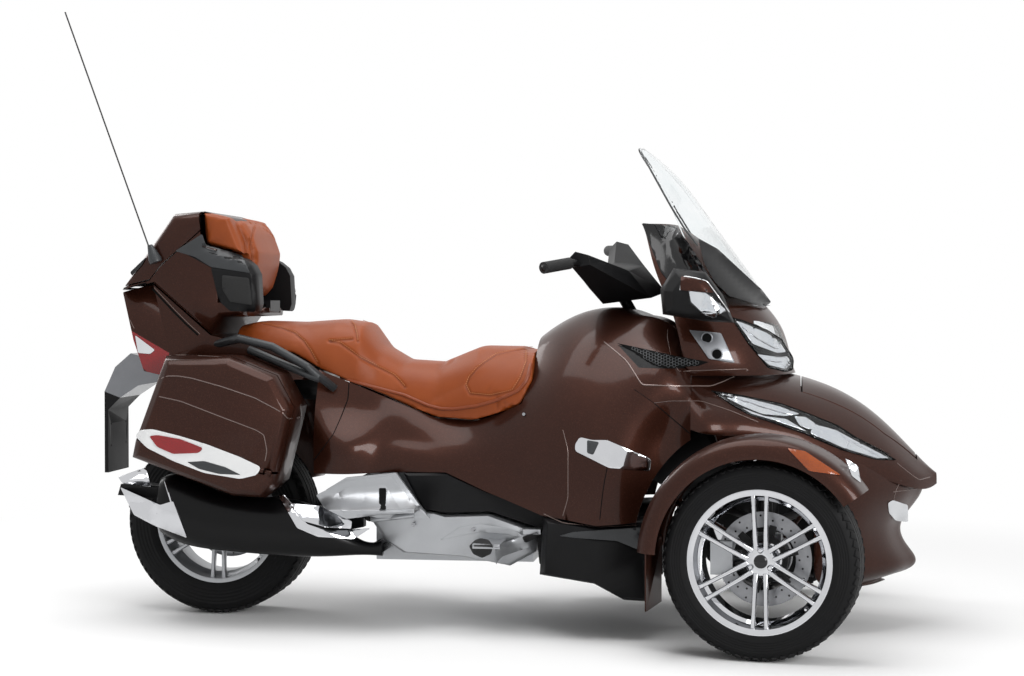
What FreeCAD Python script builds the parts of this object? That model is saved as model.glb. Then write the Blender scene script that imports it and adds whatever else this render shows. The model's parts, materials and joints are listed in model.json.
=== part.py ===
import FreeCAD, Part
import math
import os
from FreeCAD import Vector

# Touring motorized trike with two steered front wheels and one driven rear wheel, in millimetres.
# +X points forward, +Y to the rider's left and +Z up.  The ground is at z = 0, and x = 0 is the
# middle of the whole length, from the nose to the tip of the antenna.

# Running gear
wheelbase = 1773.0
front_track = 1308.0
front_axle_x = 847.5
front_tyre_radius = 281.0
front_tyre_width = 165.0
rear_tyre_radius = 303.0
rear_tyre_width = 225.0
rear_hub_depth = 130.0
rim_flange_radius = 207.5
rim_seat_radius = 193.0
rim_well_radius = 178.0
rim_wall = 5.0
rim_lip = 6.0
spoke_count = 6
spoke_width = 17.0
spoke_depth = 24.0
spoke_foot_spread = 17.0
spoke_tip_spread = 31.0
spoke_dish = 30.0
hub_radius = 58.0
hub_depth = 84.0
axle_radius = 14.0
running_fit = 0.3
disc_radius = 133.0
disc_inner_radius = 88.0
disc_thickness = 5.0
steer_rest_deg = 9.0
kingpin_inset = 68.0
kingpin_reach = 95.0
kingpin_radius = 9.0
eye_radius = 20.0
eye_height = 26.0
knuckle_depth = 16.0
knuckle_half_length = 42.0
caliper_height = 96.0
caliper_reach = 152.0
caliper_wall = 17.0
arm_tube_radius = 12.0
arm_pivot_y = 205.0
arm_pivot_spread = 125.0
shock_radius = 30.0
shock_lower_y = 430.0
shock_upper_y = 245.0
shock_upper_z = 560.0
fender_gap = 11.0
fender_crown = 62.0
fender_half_width = 104.0
fender_wall = 4.0
fender_front_deg = 35.0
fender_rear_deg = 177.0
front_stay_deg = 52.0
rear_stay_deg = 152.0
fender_stay_radius = 6.0
mudflap_drop = 165.0
mudflap_wall = 4.0
swingarm_inner_y = 148.0
swingarm_outer_y = 184.0
swing_pivot_radius = 22.0
swing_pivot_z = 340.0

# Body: lengths, walls and the sizes that the outlines' shares follow
body_rear_x = -1200.0
body_length = 2500.0
body_half_width = 500.0
body_height = 1000.0
panel_wall = 3.5
panel_gap = 5.0
seam = 0.3
arch_radius = 395.0
overrun = 50.0

# Steering
column_x = 400.0
column_z = 1000.0
column_tilt_deg = 30.0
column_radius = 18.0
column_length = 330.0
head_tube_radius = 30.0
bar_rest_deg = 10.0
bar_radius = 11.0
grip_radius = 18.0
grip_length = 118.0

cover_half_width = 110.0

# Frame and engine
engine_rear_x = -380.0
engine_front_x = 120.0
engine_half_width = 190.0
engine_low_z = 200.0
engine_high_z = 560.0
engine_cover_y = 300.0
spine_half_width = 55.0
cradle_half_length = 137.0
cradle_half_width = 190.0
cradle_low_z = 150.0
cradle_high_z = 401.0
cradle_wall = 6.0
tower_half_length = 30.0
cross_tube_radius = 12.0
rail_inner_y = 90.0
rail_outer_y = 130.0
tub_half_width = 185.0
tub_wall = 3.0
bracket_wall = 18.0
footboard_y = 420.0
footboard_wall = 14.0
peg_y = 430.0
peg_half_length = 42.0
peg_z = 276.0
peg_x = 7.0
pad_x = 138.0
pad_z = 316.0
pad_half = 27.0

# Exhaust
silencer_y = 300.0
silencer_half_width = 70.0
tail_pipe_y = 262.0
tail_pipe_radius = 20.0
header_x = -352.0

# Luggage
pannier_inner_y = 238.0
pannier_outer_y = 450.0
pannier_wall = 4.0
door_depth = 46.0
hinge_gap = 4.0
hinge_bore_wall = 3.0
hinge_length = 24.0
pin_radius = 4.0
case_half_width = 262.0
case_wall = 4.0
case_edge = 34.0
lid_hinge_x = -765.0
lid_hinge_z = 985.0
lid_arm_half_width = 60.0
pod_inner_y = 178.0
wing_inner_y = 120.0
wing_outer_y = 245.0
nose_hinge_x = 1285.0
nose_hinge_z = 528.0
nose_hinge_half = 30.0
rail_radius = 13.0
mirror_y = 400.0
mirror_stalk_radius = 15.0

# Glass, antenna and small pieces
screen_wall = 5.0
antenna_foot_x = -1082.0
antenna_foot_z = 1152.0
antenna_ball_radius = 11.0
antenna_tip_x = -1367.0
antenna_tip_z = 1931.0
antenna_radius = 2.5
lamp_wall = 14.0
plate_half_width = 100.0
plate_x = -1304.0
plate_high_z = 700.0
plate_low_z = 455.0
plate_hole_radius = 3.2
plate_hole_half_y = 73.0
plate_hole_half_z = 35.0
screen_mount_y = 120.0
screen_mount_z = 1035.0
screen_mount_radius = 9.0

rear_axle_x = front_axle_x - wheelbase
wheel_y = front_track / 2
kingpin_y = wheel_y - kingpin_inset

# Half section of a tyre from its bead to its crown, in shares of its half width and its height
tyre_section_shares = ((0.94, 0.0), (0.94, 0.72), (0.66, 1.0))

# Half sections of the body from its middle line down to its lower edge: a share of the body's
# length, then shares of its half width and height.
body_section_shares = (
    (0.256, ((0, 0.83), (0.24, 0.825), (0.41, 0.80), (0.464, 0.745), (0.516, 0.69),
             (0.556, 0.63), (0.574, 0.57), (0.572, 0.52), (0.56, 0.46))),
    (0.34, ((0, 0.76), (0.2, 0.755), (0.35, 0.735), (0.41, 0.695), (0.47, 0.645),
            (0.524, 0.59), (0.558, 0.545), (0.568, 0.51), (0.56, 0.46))),
    (0.42, ((0, 0.705), (0.17, 0.70), (0.3, 0.68), (0.38, 0.65), (0.46, 0.608),
            (0.528, 0.565), (0.57, 0.53), (0.584, 0.505), (0.58, 0.45))),
    (0.48, ((0, 0.79), (0.15, 0.785), (0.27, 0.76), (0.39, 0.715), (0.5, 0.655),
            (0.584, 0.595), (0.632, 0.545), (0.648, 0.49), (0.64, 0.40))),
    (0.532, ((0, 0.905), (0.13, 0.90), (0.26, 0.885), (0.41, 0.838), (0.57, 0.762),
             (0.684, 0.67), (0.74, 0.575), (0.75, 0.48), (0.736, 0.36))),
    (0.592, ((0, 0.985), (0.16, 0.98), (0.31, 0.955), (0.5, 0.90), (0.676, 0.812),
             (0.804, 0.705), (0.872, 0.59), (0.88, 0.46), (0.86, 0.32))),
    (0.648, ((0, 0.99), (0.18, 0.985), (0.34, 0.965), (0.56, 0.90), (0.74, 0.81),
             (0.856, 0.71), (0.906, 0.60), (0.91, 0.46), (0.89, 0.32))),
    (0.728, ((0, 0.86), (0.2, 0.855), (0.38, 0.84), (0.56, 0.81), (0.72, 0.765),
             (0.84, 0.71), (0.89, 0.65), (0.90, 0.57), (0.89, 0.48))),
)

# Half sections of the hood, in the same shares
hood_section_shares = (
    (0.728, ((0, 0.84), (0.34, 0.832), (0.62, 0.795), (0.8, 0.735), (0.885, 0.665), (0.895, 0.635))),
    (0.78, ((0, 0.82), (0.31, 0.812), (0.58, 0.765), (0.76, 0.70), (0.85, 0.64), (0.85, 0.615))),
    (0.84, ((0, 0.79), (0.28, 0.78), (0.53, 0.735), (0.69, 0.665), (0.75, 0.61), (0.745, 0.585))),
    (0.90, ((0, 0.742), (0.23, 0.73), (0.43, 0.68), (0.58, 0.61), (0.63, 0.555), (0.62, 0.53))),
    (0.952, ((0, 0.66), (0.17, 0.648), (0.32, 0.605), (0.42, 0.55), (0.45, 0.505), (0.44, 0.48))),
    (0.996, ((0, 0.552), (0.1, 0.543), (0.18, 0.517), (0.24, 0.487), (0.255, 0.462), (0.25, 0.44))),
    (1.02, ((0, 0.492), (0.03, 0.489), (0.06, 0.477), (0.085, 0.462), (0.09, 0.45), (0.085, 0.437))),
    (1.0268, ((0, 0.478), (0.014, 0.476), (0.028, 0.470), (0.036, 0.462), (0.038, 0.454), (0.036, 0.446))),
)

# Level sections, from the bottom up: height, then the tip, the half width and the rear end
fascia_level_shares = (
    (0.14, 0.964, 0.48, 0.885),
    (0.17, 0.987, 0.54, 0.878),
    (0.206, 1.002, 0.58, 0.874),
    (0.255, 0.990, 0.60, 0.874),
    (0.31, 0.983, 0.61, 0.874),
    (0.37, 0.996, 0.62, 0.874),
    (0.43, 1.010, 0.64, 0.874),
    (0.49, 1.005, 0.65, 0.874),
    (0.55, 0.985, 0.655, 0.874),
    (0.60, 0.965, 0.66, 0.874),
)
fascia_outline_shares = ((0, 1), (0.35, 0.90), (0.62, 0.66), (0.82, 0.40), (0.95, 0.14), (1, 0))
cowl_level_shares = (
    (0.79, 0.852, 0.66, 0.72),
    (0.88, 0.842, 0.66, 0.714),
    (0.97, 0.8248, 0.58, 0.704),
    (1.03, 0.803, 0.52, 0.694),
    (1.10, 0.778, 0.46, 0.682),
    (1.18, 0.747, 0.38, 0.672),
    (1.255, 0.704, 0.32, 0.662),
)
cowl_outline_shares = ((0, 1), (0.4, 0.97), (0.7, 0.80), (0.88, 0.55), (0.97, 0.25), (1, 0))

# Windscreen levels: height, tip, half width and how far its sides sweep back
screen_level_shares = (
    (1.00, 0.820, 0.58, 0.060),
    (1.10, 0.7952, 0.57, 0.056),
    (1.20, 0.766, 0.524, 0.047),
    (1.32, 0.7316, 0.45, 0.034),
    (1.42, 0.6992, 0.35, 0.025),
    (1.48, 0.672, 0.23, 0.013),
    (1.50, 0.6608, 0.08, 0.003),
)
screen_outline_shares = ((1, 1), (0.7, 0.42), (0.35, 0.10), (0, 0))

# Seat stations: place along the body, half width, underside and top
seat_station_shares = (
    (0.531, 0.60, 0.695, 0.872),
    (0.504, 0.57, 0.65, 0.868),
    (0.455, 0.49, 0.61, 0.870),
    (0.404, 0.41, 0.62, 0.818),
    (0.356, 0.385, 0.67, 0.825),
    (0.326, 0.40, 0.70, 0.868),
    (0.304, 0.43, 0.73, 0.945),
    (0.272, 0.44, 0.76, 0.956),
    (0.22, 0.44, 0.82, 0.946),
    (0.164, 0.40, 0.85, 0.95),
    (0.14, 0.36, 0.855, 0.945),
)
seat_outline_shares = ((0, 1), (0.45, 0.975), (0.8, 0.83), (0.97, 0.5), (1, 0.15), (0.97, 0))
seat_line_shares = (
    (0.532, 0.86), (0.532, 0.78), (0.519, 0.70), (0.488, 0.665), (0.455, 0.64), (0.404, 0.648),
    (0.356, 0.695), (0.304, 0.75), (0.26, 0.793), (0.22, 0.85), (0.2085, 0.8535), (0.10, 0.9197),
)

# Side views of the edges that part the body's panels
lower_edge_shares = (
    (0.20, 0.475), (0.304, 0.478), (0.371, 0.484), (0.424, 0.486), (0.474, 0.432), (0.548, 0.367),
    (0.575, 0.36), (0.616, 0.345), (0.669, 0.356), (0.76, 0.356),
)
top_cover_shares = ((0.532, 0.88), (0.633, 0.888), (0.666, 0.762), (0.738, 0.742))
fairing_seam_shares = ((0.666, 0.762), (0.591, 0.607), (0.581, 0.515), (0.575, 0.20))
grille_shares = ((0.637, 0.882), (0.736, 0.822), (0.722, 0.812), (0.665, 0.815))
headlamp_shares = (
    (0.752, 0.746), (0.785, 0.731), (0.845, 0.693), (0.892, 0.643), (0.928, 0.599), (0.967, 0.546),
    (0.928, 0.554), (0.857, 0.633), (0.815, 0.665), (0.785, 0.701),
)
hood_lid_shares = ((0.86, 0.43), (0.90, 0.36), (0.96, 0.25), (1.0, 0.10))
lamp_plane_share = 0.8
upper_lamp_shares = ((0.12, 0.825), (0.50, 0.812), (0.55, 0.90), (0.44, 0.955), (0.14, 0.94))

# Side views of the luggage and the tail
pannier_shares = (
    (0.080, 0.846), (0.164, 0.850), (0.224, 0.79), (0.246, 0.69), (0.222, 0.45), (0.205, 0.41),
    (0.165, 0.415), (0.036, 0.53), (0.040, 0.58),
)
tail_shares = (
    (0.0, 1.046), (0.0412, 1.073), (0.118, 0.908), (0.21, 0.852), (0.245, 0.79), (0.24, 0.765),
    (0.08, 0.76), (0.028, 0.79), (0.014, 0.89),
)
case_shares = (
    (0.0, 1.05), (0.07, 1.292), (0.108, 1.30), (0.126, 1.285), (0.130, 1.24), (0.132, 0.998),
    (0.164, 0.996), (0.164, 0.967), (0.134, 0.963), (0.118, 0.9088), (0.0412, 1.0738),
)
lid_seam_shares = ((-0.02, 1.043), (0.0412, 1.079), (0.056, 1.125), (0.108, 1.235), (0.19, 1.245))
backrest_shares = (
    (0.1375, 1.285), (0.146, 1.291), (0.160, 1.235), (0.1695, 1.168), (0.168, 1.13), (0.1592, 1.05),
    (0.1484, 1.020), (0.1372, 1.020),
)
backrest_wing_shares = ((0.104, 1.298), (0.1388, 1.283), (0.1608, 1.164), (0.1104, 1.194))
lid_arm_shares = (
    (0.124, 1.258), (0.1325, 1.258), (0.1368, 1.24), (0.1368, 1.017), (0.1772, 1.017), (0.1772, 0.985),
    (0.1708, 0.985), (0.1708, 1.005), (0.1343, 1.005), (0.1325, 1.245), (0.124, 1.245),
)
pod_shares = (
    (0.082, 1.173), (0.100, 1.196), (0.163, 1.148), (0.173, 1.128), (0.179, 1.10), (0.181, 1.005),
    (0.178, 0.982), (0.147, 0.997), (0.138, 1.02), (0.126, 1.115),
)
door_line_shares = ((0.02, 0.606), (0.26, 0.467))
tail_lamp_shares = ((0.0, 0.94), (0.064, 0.85), (0.052, 0.755), (0.0, 0.86))
plate_bracket_shares = (
    (0.06, 0.80), (-0.006, 0.845), (-0.027, 0.80), (-0.0416, 0.72), (-0.0416, 0.455), (-0.0366, 0.455),
    (-0.0366, 0.66), (-0.0205, 0.70), (0.004, 0.74), (0.06, 0.765),
)

# Side views of the frame, the exhaust and the parts low down
spine_shares = (
    (0.256, 0.70), (0.256, 0.745), (0.304, 0.733), (0.36, 0.66), (0.404, 0.636), (0.455, 0.628),
    (0.504, 0.65), (0.58, 0.72), (0.68, 0.81), (0.72, 0.81), (0.76, 0.52), (0.845, 0.401),
    (0.96, 0.395), (0.96, 0.33), (0.76, 0.31), (0.68, 0.44), (0.58, 0.56), (0.36, 0.56),
)
cross_tube_shares = ((0.34, 0.62), (0.61, 0.62))
rail_shares = ((0.256, 0.70), (0.256, 0.745), (0.24, 0.7645), (0.08, 0.7595), (0.08, 0.725), (0.24, 0.70))
tub_shares = ((0.854, 0.4013), (0.944, 0.4013), (0.954, 0.50), (0.944, 0.575), (0.854, 0.71))
engine_cover_shares = (
    (0.32, 0.37), (0.348, 0.27), (0.37, 0.235), (0.448, 0.225), (0.504, 0.20), (0.536, 0.245),
    (0.537, 0.31), (0.48, 0.358), (0.422, 0.352), (0.408, 0.362),
)
under_panel_shares = (
    (0.371, 0.482), (0.424, 0.484), (0.474, 0.43), (0.548, 0.365), (0.566, 0.362), (0.545, 0.20),
    (0.54, 0.32), (0.48, 0.368), (0.42, 0.362), (0.395, 0.372),
)
lower_fairing_shares = (
    (0.55, 0.362), (0.576, 0.357), (0.616, 0.343), (0.668, 0.350), (0.68, 0.30), (0.68, 0.115),
    (0.648, 0.118), (0.612, 0.165), (0.546, 0.19),
)
swingarm_shares = (
    (0.311, 0.30), (0.311, 0.378), (0.24, 0.36), (0.10, 0.34), (0.088, 0.303), (0.10, 0.27), (0.24, 0.262),
)
foot_bracket_shares = (
    (0.275, 0.43), (0.30, 0.468), (0.363, 0.485), (0.405, 0.345), (0.34, 0.345), (0.306, 0.363),
)
footboard_shares = ((0.306, 0.363), (0.394, 0.372), (0.394, 0.386), (0.306, 0.377))
mirror_shares = (
    (0.691, 1.05), (0.707, 1.113), (0.745, 1.101), (0.766, 1.03), (0.779, 0.95), (0.744, 0.955),
    (0.694, 0.975),
)
# Silencer stations: place, middle height, half height and a share of its half width
silencer_station_shares = (
    (0.062, 0.372, 0.085, 0.8), (0.075, 0.370, 0.102, 1.0), (0.20, 0.313, 0.090, 1.0),
    (0.27, 0.29, 0.070, 0.9), (0.304, 0.26, 0.035, 0.5), (0.345, 0.25, 0.025, 0.36),
)
tail_pipe_shares = (
    ((0.076, 0.435), (0.076, 0.395), (0.008, 0.405), (0.012, 0.44)),
    ((0.066, 0.34), (0.072, 0.30), (0.030, 0.335), (0.022, 0.372)),
)
grab_rail_shares = ((0.124, 0.45, 0.878), (0.16, 0.56, 0.898), (0.204, 0.584, 0.872), (0.248, 0.57, 0.81),
                    (0.278, 0.46, 0.74))
grab_bar_shares = ((0.168, 0.47, 0.862), (0.224, 0.53, 0.808), (0.262, 0.53, 0.772))
# Handlebar: side views of its cover in the middle and near the grips, and the bar's route
cover_middle_shares = ((0.68, 1.035), (0.618, 1.015), (0.60, 1.065), (0.612, 1.13), (0.652, 1.12))
cover_end_shares = ((0.618, 1.15), (0.596, 1.14), (0.59, 1.165), (0.60, 1.19), (0.616, 1.18))
bar_shares = ((0.623, 0.0, 1.0736), (0.622, 0.12, 1.076), (0.61, 0.38, 1.125), (0.60, 0.58, 1.158),
              (0.5752, 0.83, 1.150))


def station(share):
    """Place along the body of a share of its length."""
    return body_rear_x + share * body_length


def level(share):
    """Height of a share of the body's height."""
    return share * body_height


def side_points(shares, y=0.0):
    """Points in a plane across the body, from shares of its length and height."""
    return [Vector(station(x_share), y, level(z_share)) for x_share, z_share in shares]


def moved(points, dx=0.0, dz=0.0):
    """The same points, shifted along and up."""
    return [point + Vector(dx, 0, dz) for point in points]


def polygon(points):
    """Closed wire of straight edges."""
    return Part.makePolygon(points + [points[0]])


def prism(points, path):
    """Flat outline extruded along a path."""
    return Part.Face(polygon(points)).extrude(path)


def side_prism(points, low_y, high_y):
    """Side view extruded across the body."""
    flat = [Vector(point.x, low_y, point.z) for point in points]
    return prism(flat, Vector(0, high_y - low_y, 0))


def smooth(points):
    """Edge that runs smoothly through the points."""
    curve = Part.BSplineCurve()
    curve.interpolate(points)
    return curve.toShape()


def straight(start, end):
    """Straight edge."""
    return Part.LineSegment(start, end).toShape()


def inset(points, normal, wall):
    """Points moved inwards from a curve that lies in the plane of a normal."""
    inner = []
    last = len(points) - 1
    for index, here in enumerate(points):
        before = points[max(index - 1, 0)]
        after = points[min(index + 1, last)]
        inward = (after - before).cross(normal).normalize()
        inner.append(here + inward * wall)
    return inner


def band(points, normal, wall):
    """Closed wire of a curved strip with an even wall."""
    inner = inset(points, normal, wall)
    inner.reverse()
    return Part.Wire([smooth(points), straight(points[-1], inner[0]), smooth(inner),
                      straight(inner[-1], points[0])])


def lens(points):
    """Closed wire of a curve and the straight line between its ends."""
    return Part.Wire([smooth(points), straight(points[-1], points[0])])


def loft(wires, ruled=False):
    """Solid through the wires."""
    return Part.makeLoft(wires, True, ruled)


def both_halves(half):
    """A half outline from the middle line, completed by its mirror image."""
    other = [Vector(point.x, -point.y, point.z) for point in reversed(half[1:])]
    return other + half


def mirrored(shape):
    """The same shape on the other side of the body."""
    return shape.mirror(Vector(0, 0, 0), Vector(0, 1, 0))


def pair(shape):
    """Right-hand and left-hand copies as one compound."""
    return Part.makeCompound([shape, mirrored(shape)])


def cylinder(start, end, radius):
    """Round bar between two points."""
    path = end - start
    return Part.makeCylinder(radius, path.Length, start, path)


def ring(start, end, radius, bore):
    """Round tube between two points."""
    return cylinder(start, end, radius).cut(cylinder(start, end, bore))


def rod(points, radius):
    """Round bar through several points, with balls at its bends."""
    shape = cylinder(points[0], points[1], radius)
    for index in range(1, len(points) - 1):
        shape = shape.fuse(Part.makeSphere(radius, points[index]))
        shape = shape.fuse(cylinder(points[index], points[index + 1], radius))
    return shape


def block(low, high):
    """Box between two corners."""
    size = high - low
    return Part.makeBox(size.x, size.y, size.z, low)


def largest(shape):
    """The largest solid of a shape."""
    return max(shape.Solids, key=lambda solid: solid.Volume)


def section_half(x_share, half_shares):
    """Half outline of a body section."""
    return [Vector(station(x_share), y_share * body_half_width, level(z_share))
            for y_share, z_share in half_shares]


def body_skin(section_shares, wall):
    """Shell through the body's sections."""
    wires = [band(both_halves(section_half(x_share, half)), Vector(1, 0, 0), wall)
             for x_share, half in section_shares]
    return loft(wires)


def body_fill(section_shares):
    """Solid inside the body's sections."""
    wires = [lens(both_halves(section_half(x_share, half))) for x_share, half in section_shares]
    return loft(wires)


def level_half(tip_x, half_width, rear_x, z, outline_shares):
    """Half outline of a level section, from its tip to its rear end."""
    points = [Vector(rear_x + x_share * (tip_x - rear_x), y_share * half_width, z)
              for x_share, y_share in outline_shares]
    points.reverse()
    return points


def level_wires(level_shares, outline_shares, wall):
    """Wires of level sections: strips, or closed outlines where there is no wall."""
    wires = []
    for z_share, tip_share, half_share, rear_share in level_shares:
        half = level_half(station(tip_share), half_share * body_half_width, station(rear_share),
                          level(z_share), outline_shares)
        outline = both_halves(half)
        wires.append(band(outline, Vector(0, 0, -1), wall) if wall else lens(outline))
    return wires


# Wheels, each about its own middle with its outer face towards -Y

def tyre(radius, width):
    """Tyre with a crown, shoulders and side walls, seated round the flanges of a rim."""
    bead_radius = rim_flange_radius + seam
    half = [Vector(0, y_share * width / 2, bead_radius + r_share * (radius - bead_radius))
            for y_share, r_share in tyre_section_shares]
    section = [Vector(0, -point.y, point.z) for point in half] + list(reversed(half))
    return Part.Face(polygon(section)).revolve(Vector(0, 0, 0), Vector(0, 1, 0), 360)


def rim_barrel(width):
    """Barrel of a rim, with flanges, bead seats and a well."""
    half = width / 2
    outside = [
        (-half, rim_flange_radius), (-half + rim_lip, rim_flange_radius), (-half + rim_lip, rim_seat_radius),
        (-half * 0.6, rim_seat_radius - rim_wall), (-half * 0.45, rim_well_radius),
        (half * 0.45, rim_well_radius), (half * 0.6, rim_seat_radius - rim_wall),
        (half - rim_lip, rim_seat_radius), (half - rim_lip, rim_flange_radius), (half, rim_flange_radius),
    ]
    inside = [
        (half, rim_seat_radius - rim_wall), (half * 0.55, rim_seat_radius - 2 * rim_wall),
        (half * 0.42, rim_well_radius - rim_wall), (-half * 0.42, rim_well_radius - rim_wall),
        (-half * 0.55, rim_seat_radius - 2 * rim_wall), (-half, rim_seat_radius - rim_wall),
    ]
    points = [Vector(0, y, r) for y, r in outside + inside]
    return Part.Face(polygon(points)).revolve(Vector(0, 0, 0), Vector(0, 1, 0), 360)


def spoke(side, face_y):
    """One leg of a double spoke, from the hub to the rim, dished towards the hub."""
    foot = hub_radius * 0.7
    tip = rim_seat_radius - rim_wall * 0.8
    foot_x = side * spoke_foot_spread
    tip_x = side * spoke_tip_spread
    half = spoke_width / 2

    def cross_section(x, r, y):
        back = y + spoke_depth
        return polygon([Vector(x - half, y, r), Vector(x + half, y, r),
                        Vector(x + half * 0.6, back, r), Vector(x - half * 0.6, back, r)])

    return loft([cross_section(foot_x, foot, face_y + spoke_dish), cross_section(tip_x, tip, face_y)], True)


def rim(width, depth, disc_y):
    """Cast rim with its barrel, its hub of a depth and double spokes, and the brake disc on the hub."""
    face_y = -width / 2 + rim_lip
    hub_front = face_y + spoke_dish
    body = rim_barrel(width)
    hub = cylinder(Vector(0, hub_front, 0), Vector(0, hub_front + depth, 0), hub_radius)
    legs = []
    for index in range(spoke_count):
        for side in (-1, 1):
            leg = spoke(side, face_y)
            leg.rotate(Vector(0, 0, 0), Vector(0, 1, 0), index * 360 / spoke_count)
            legs.append(leg)
    body = body.fuse([hub] + legs).removeSplitter()
    body = body.cut(cylinder(Vector(0, -width, 0), Vector(0, width, 0), axle_radius + running_fit))
    return Part.makeCompound([body, brake_disc(disc_y)])


def brake_disc(low_y):
    """Brake disc with its carrier and windows between the carrier's arms."""
    high_y = low_y + disc_thickness
    disc = ring(Vector(0, low_y, 0), Vector(0, high_y, 0), disc_radius, hub_radius + running_fit)
    window = ring(Vector(0, low_y - overrun, 0), Vector(0, high_y + overrun, 0),
                  disc_inner_radius, hub_radius + disc_thickness * 2)
    arms = []
    for index in range(spoke_count):
        arm = block(Vector(-disc_thickness, low_y - overrun * 2, 0),
                    Vector(disc_thickness, high_y + overrun * 2, disc_radius))
        arm.rotate(Vector(0, 0, 0), Vector(0, 1, 0), (index + 0.5) * 360 / spoke_count)
        arms.append(arm)
    return disc.cut(window.cut(Part.makeCompound(arms)))


def at_front(shape):
    """A right-hand front wheel part, put at its wheel's place."""
    return shape.translated(Vector(front_axle_x, -wheel_y, front_tyre_radius))


def steered(shape, side):
    """A part that turns with a front wheel, at the angle at which the wheels stand."""
    placed = shape if side < 0 else mirrored(shape)
    return placed.rotated(Vector(front_axle_x, side * kingpin_y, 0), Vector(0, 0, 1), -steer_rest_deg)


front_rim_width = front_tyre_width * 0.92
rear_rim_width = rear_tyre_width * 0.90
front_disc_y = -front_rim_width / 2 + rim_lip + spoke_dish + hub_depth * 0.62
rear_disc_y = -rear_rim_width / 2 + rim_lip + spoke_dish + rear_hub_depth * 0.9
fender_stay_y = front_tyre_width / 2 + fender_stay_radius * 3.2


def fender_shell():
    """Curved strip round the tyre's top, with its lips a little outside the tread."""
    lip = front_tyre_radius + fender_gap
    top = lip + fender_crown
    half = fender_half_width
    section = [
        Vector(-half, 0, lip), Vector(-half, 0, lip + fender_crown * 0.45),
        Vector(-half * 0.86, 0, lip + fender_crown * 0.78), Vector(-half * 0.5, 0, top - fender_wall),
        Vector(0, 0, top), Vector(half * 0.5, 0, top - fender_wall),
        Vector(half * 0.84, 0, lip + fender_crown * 0.76), Vector(half, 0, lip + fender_crown * 0.2),
    ]
    section = [Vector(0, point.x, point.z) for point in section]
    strip = Part.Face(band(section, Vector(-1, 0, 0), fender_wall))
    # The strip starts upright above the axle and is turned back to the fender's front end.
    strip.rotate(Vector(0, 0, 0), Vector(0, 1, 0), 90 - fender_front_deg)
    return strip.revolve(Vector(0, 0, 0), Vector(0, 1, 0), fender_front_deg - fender_rear_deg)


def fender():
    """Front fender with its mud flap and the stays that carry it from the knuckle."""
    shell = fender_shell()
    lip = front_tyre_radius + fender_gap
    mean = lip + fender_crown * 0.45
    rear = math.radians(fender_rear_deg)
    flap_top = Vector(mean * math.cos(rear), 0, mean * math.sin(rear))
    half = fender_half_width - fender_wall / 2
    flap = block(Vector(-mudflap_wall / 2, -half, -mudflap_drop),
                 Vector(mudflap_wall / 2, half, fender_crown / 2))
    flap.translate(flap_top)
    stays = []
    for degrees in (front_stay_deg, rear_stay_deg):
        turn = math.radians(degrees)
        reach = Vector(math.cos(turn), 0, math.sin(turn))
        start = reach * kingpin_inset + Vector(0, fender_stay_y, 0)
        end = reach * (lip + fender_crown * 0.3) + Vector(0, fender_stay_y, 0)
        stays.append(cylinder(start, end, fender_stay_radius))
    return shell.fuse([flap] + stays)


def knuckle():
    """Upright with its stub axle, kingpins, brake caliper and the plate that carries the fender."""
    inner = kingpin_inset
    plate = block(Vector(-knuckle_half_length, inner - knuckle_depth, -kingpin_reach + eye_height),
                  Vector(knuckle_half_length, inner + knuckle_depth, kingpin_reach - eye_height))
    stub_start = Vector(0, inner, 0)
    stub_end = Vector(0, -front_rim_width / 2 + rim_lip + spoke_dish + rim_wall, 0)
    stub = cylinder(stub_start, stub_end, axle_radius)
    pins = cylinder(Vector(0, inner, -kingpin_reach - eye_height / 2),
                    Vector(0, inner, kingpin_reach + eye_height / 2), kingpin_radius)
    carrier = cylinder(Vector(0, inner, 0), Vector(0, fender_stay_y, 0), kingpin_inset)
    steering_arm = block(Vector(-knuckle_half_length * 3, inner, -knuckle_depth / 2),
                         Vector(0, inner + knuckle_depth, knuckle_depth / 2))
    body = plate.fuse([stub, pins, carrier, steering_arm])
    low_y = front_disc_y - caliper_wall
    high_y = front_disc_y + disc_thickness + caliper_wall
    caliper = block(Vector(-caliper_reach, low_y, -caliper_height / 2),
                    Vector(-disc_inner_radius, high_y, caliper_height / 2))
    slot = block(Vector(-caliper_reach + caliper_wall, front_disc_y - caliper_wall / 3, -caliper_height),
                 Vector(0, front_disc_y + disc_thickness + caliper_wall / 3, caliper_height))
    leg = block(Vector(-caliper_reach * 0.8, high_y - caliper_wall / 2, -knuckle_depth),
                Vector(-hub_radius - panel_gap, inner, knuckle_depth))
    bridge = block(Vector(-caliper_reach * 0.8, inner - knuckle_depth, -knuckle_depth),
                   Vector(0, inner, knuckle_depth))
    return body.fuse([caliper.cut(slot), leg, bridge]).removeSplitter()


# Body panels

def above_seat_line():
    """Space above the line where the seat's skirt meets the body."""
    line = side_points(seat_line_shares)
    behind = line[-1].x - overrun
    high = level(1) + overrun
    corners = [Vector(behind, 0, line[-1].z), Vector(behind, 0, high), Vector(line[0].x, 0, high)]
    return side_prism(line + corners, -body_half_width, body_half_width)


def below_lower_edge():
    """Space below the body's lower edge."""
    line = side_points(lower_edge_shares)
    corners = [Vector(line[-1].x, 0, 0), Vector(line[0].x, 0, 0)]
    return side_prism(line + corners, -body_half_width, body_half_width)


def wheel_arch():
    """Room for both front wheels and their fenders."""
    start = Vector(front_axle_x, -body_half_width, front_tyre_radius)
    return cylinder(start, Vector(front_axle_x, body_half_width, front_tyre_radius), arch_radius)


def column_axis():
    """Direction of the steering column, upwards."""
    tilt = math.radians(column_tilt_deg)
    return Vector(-math.sin(tilt), 0, math.cos(tilt))


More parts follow.
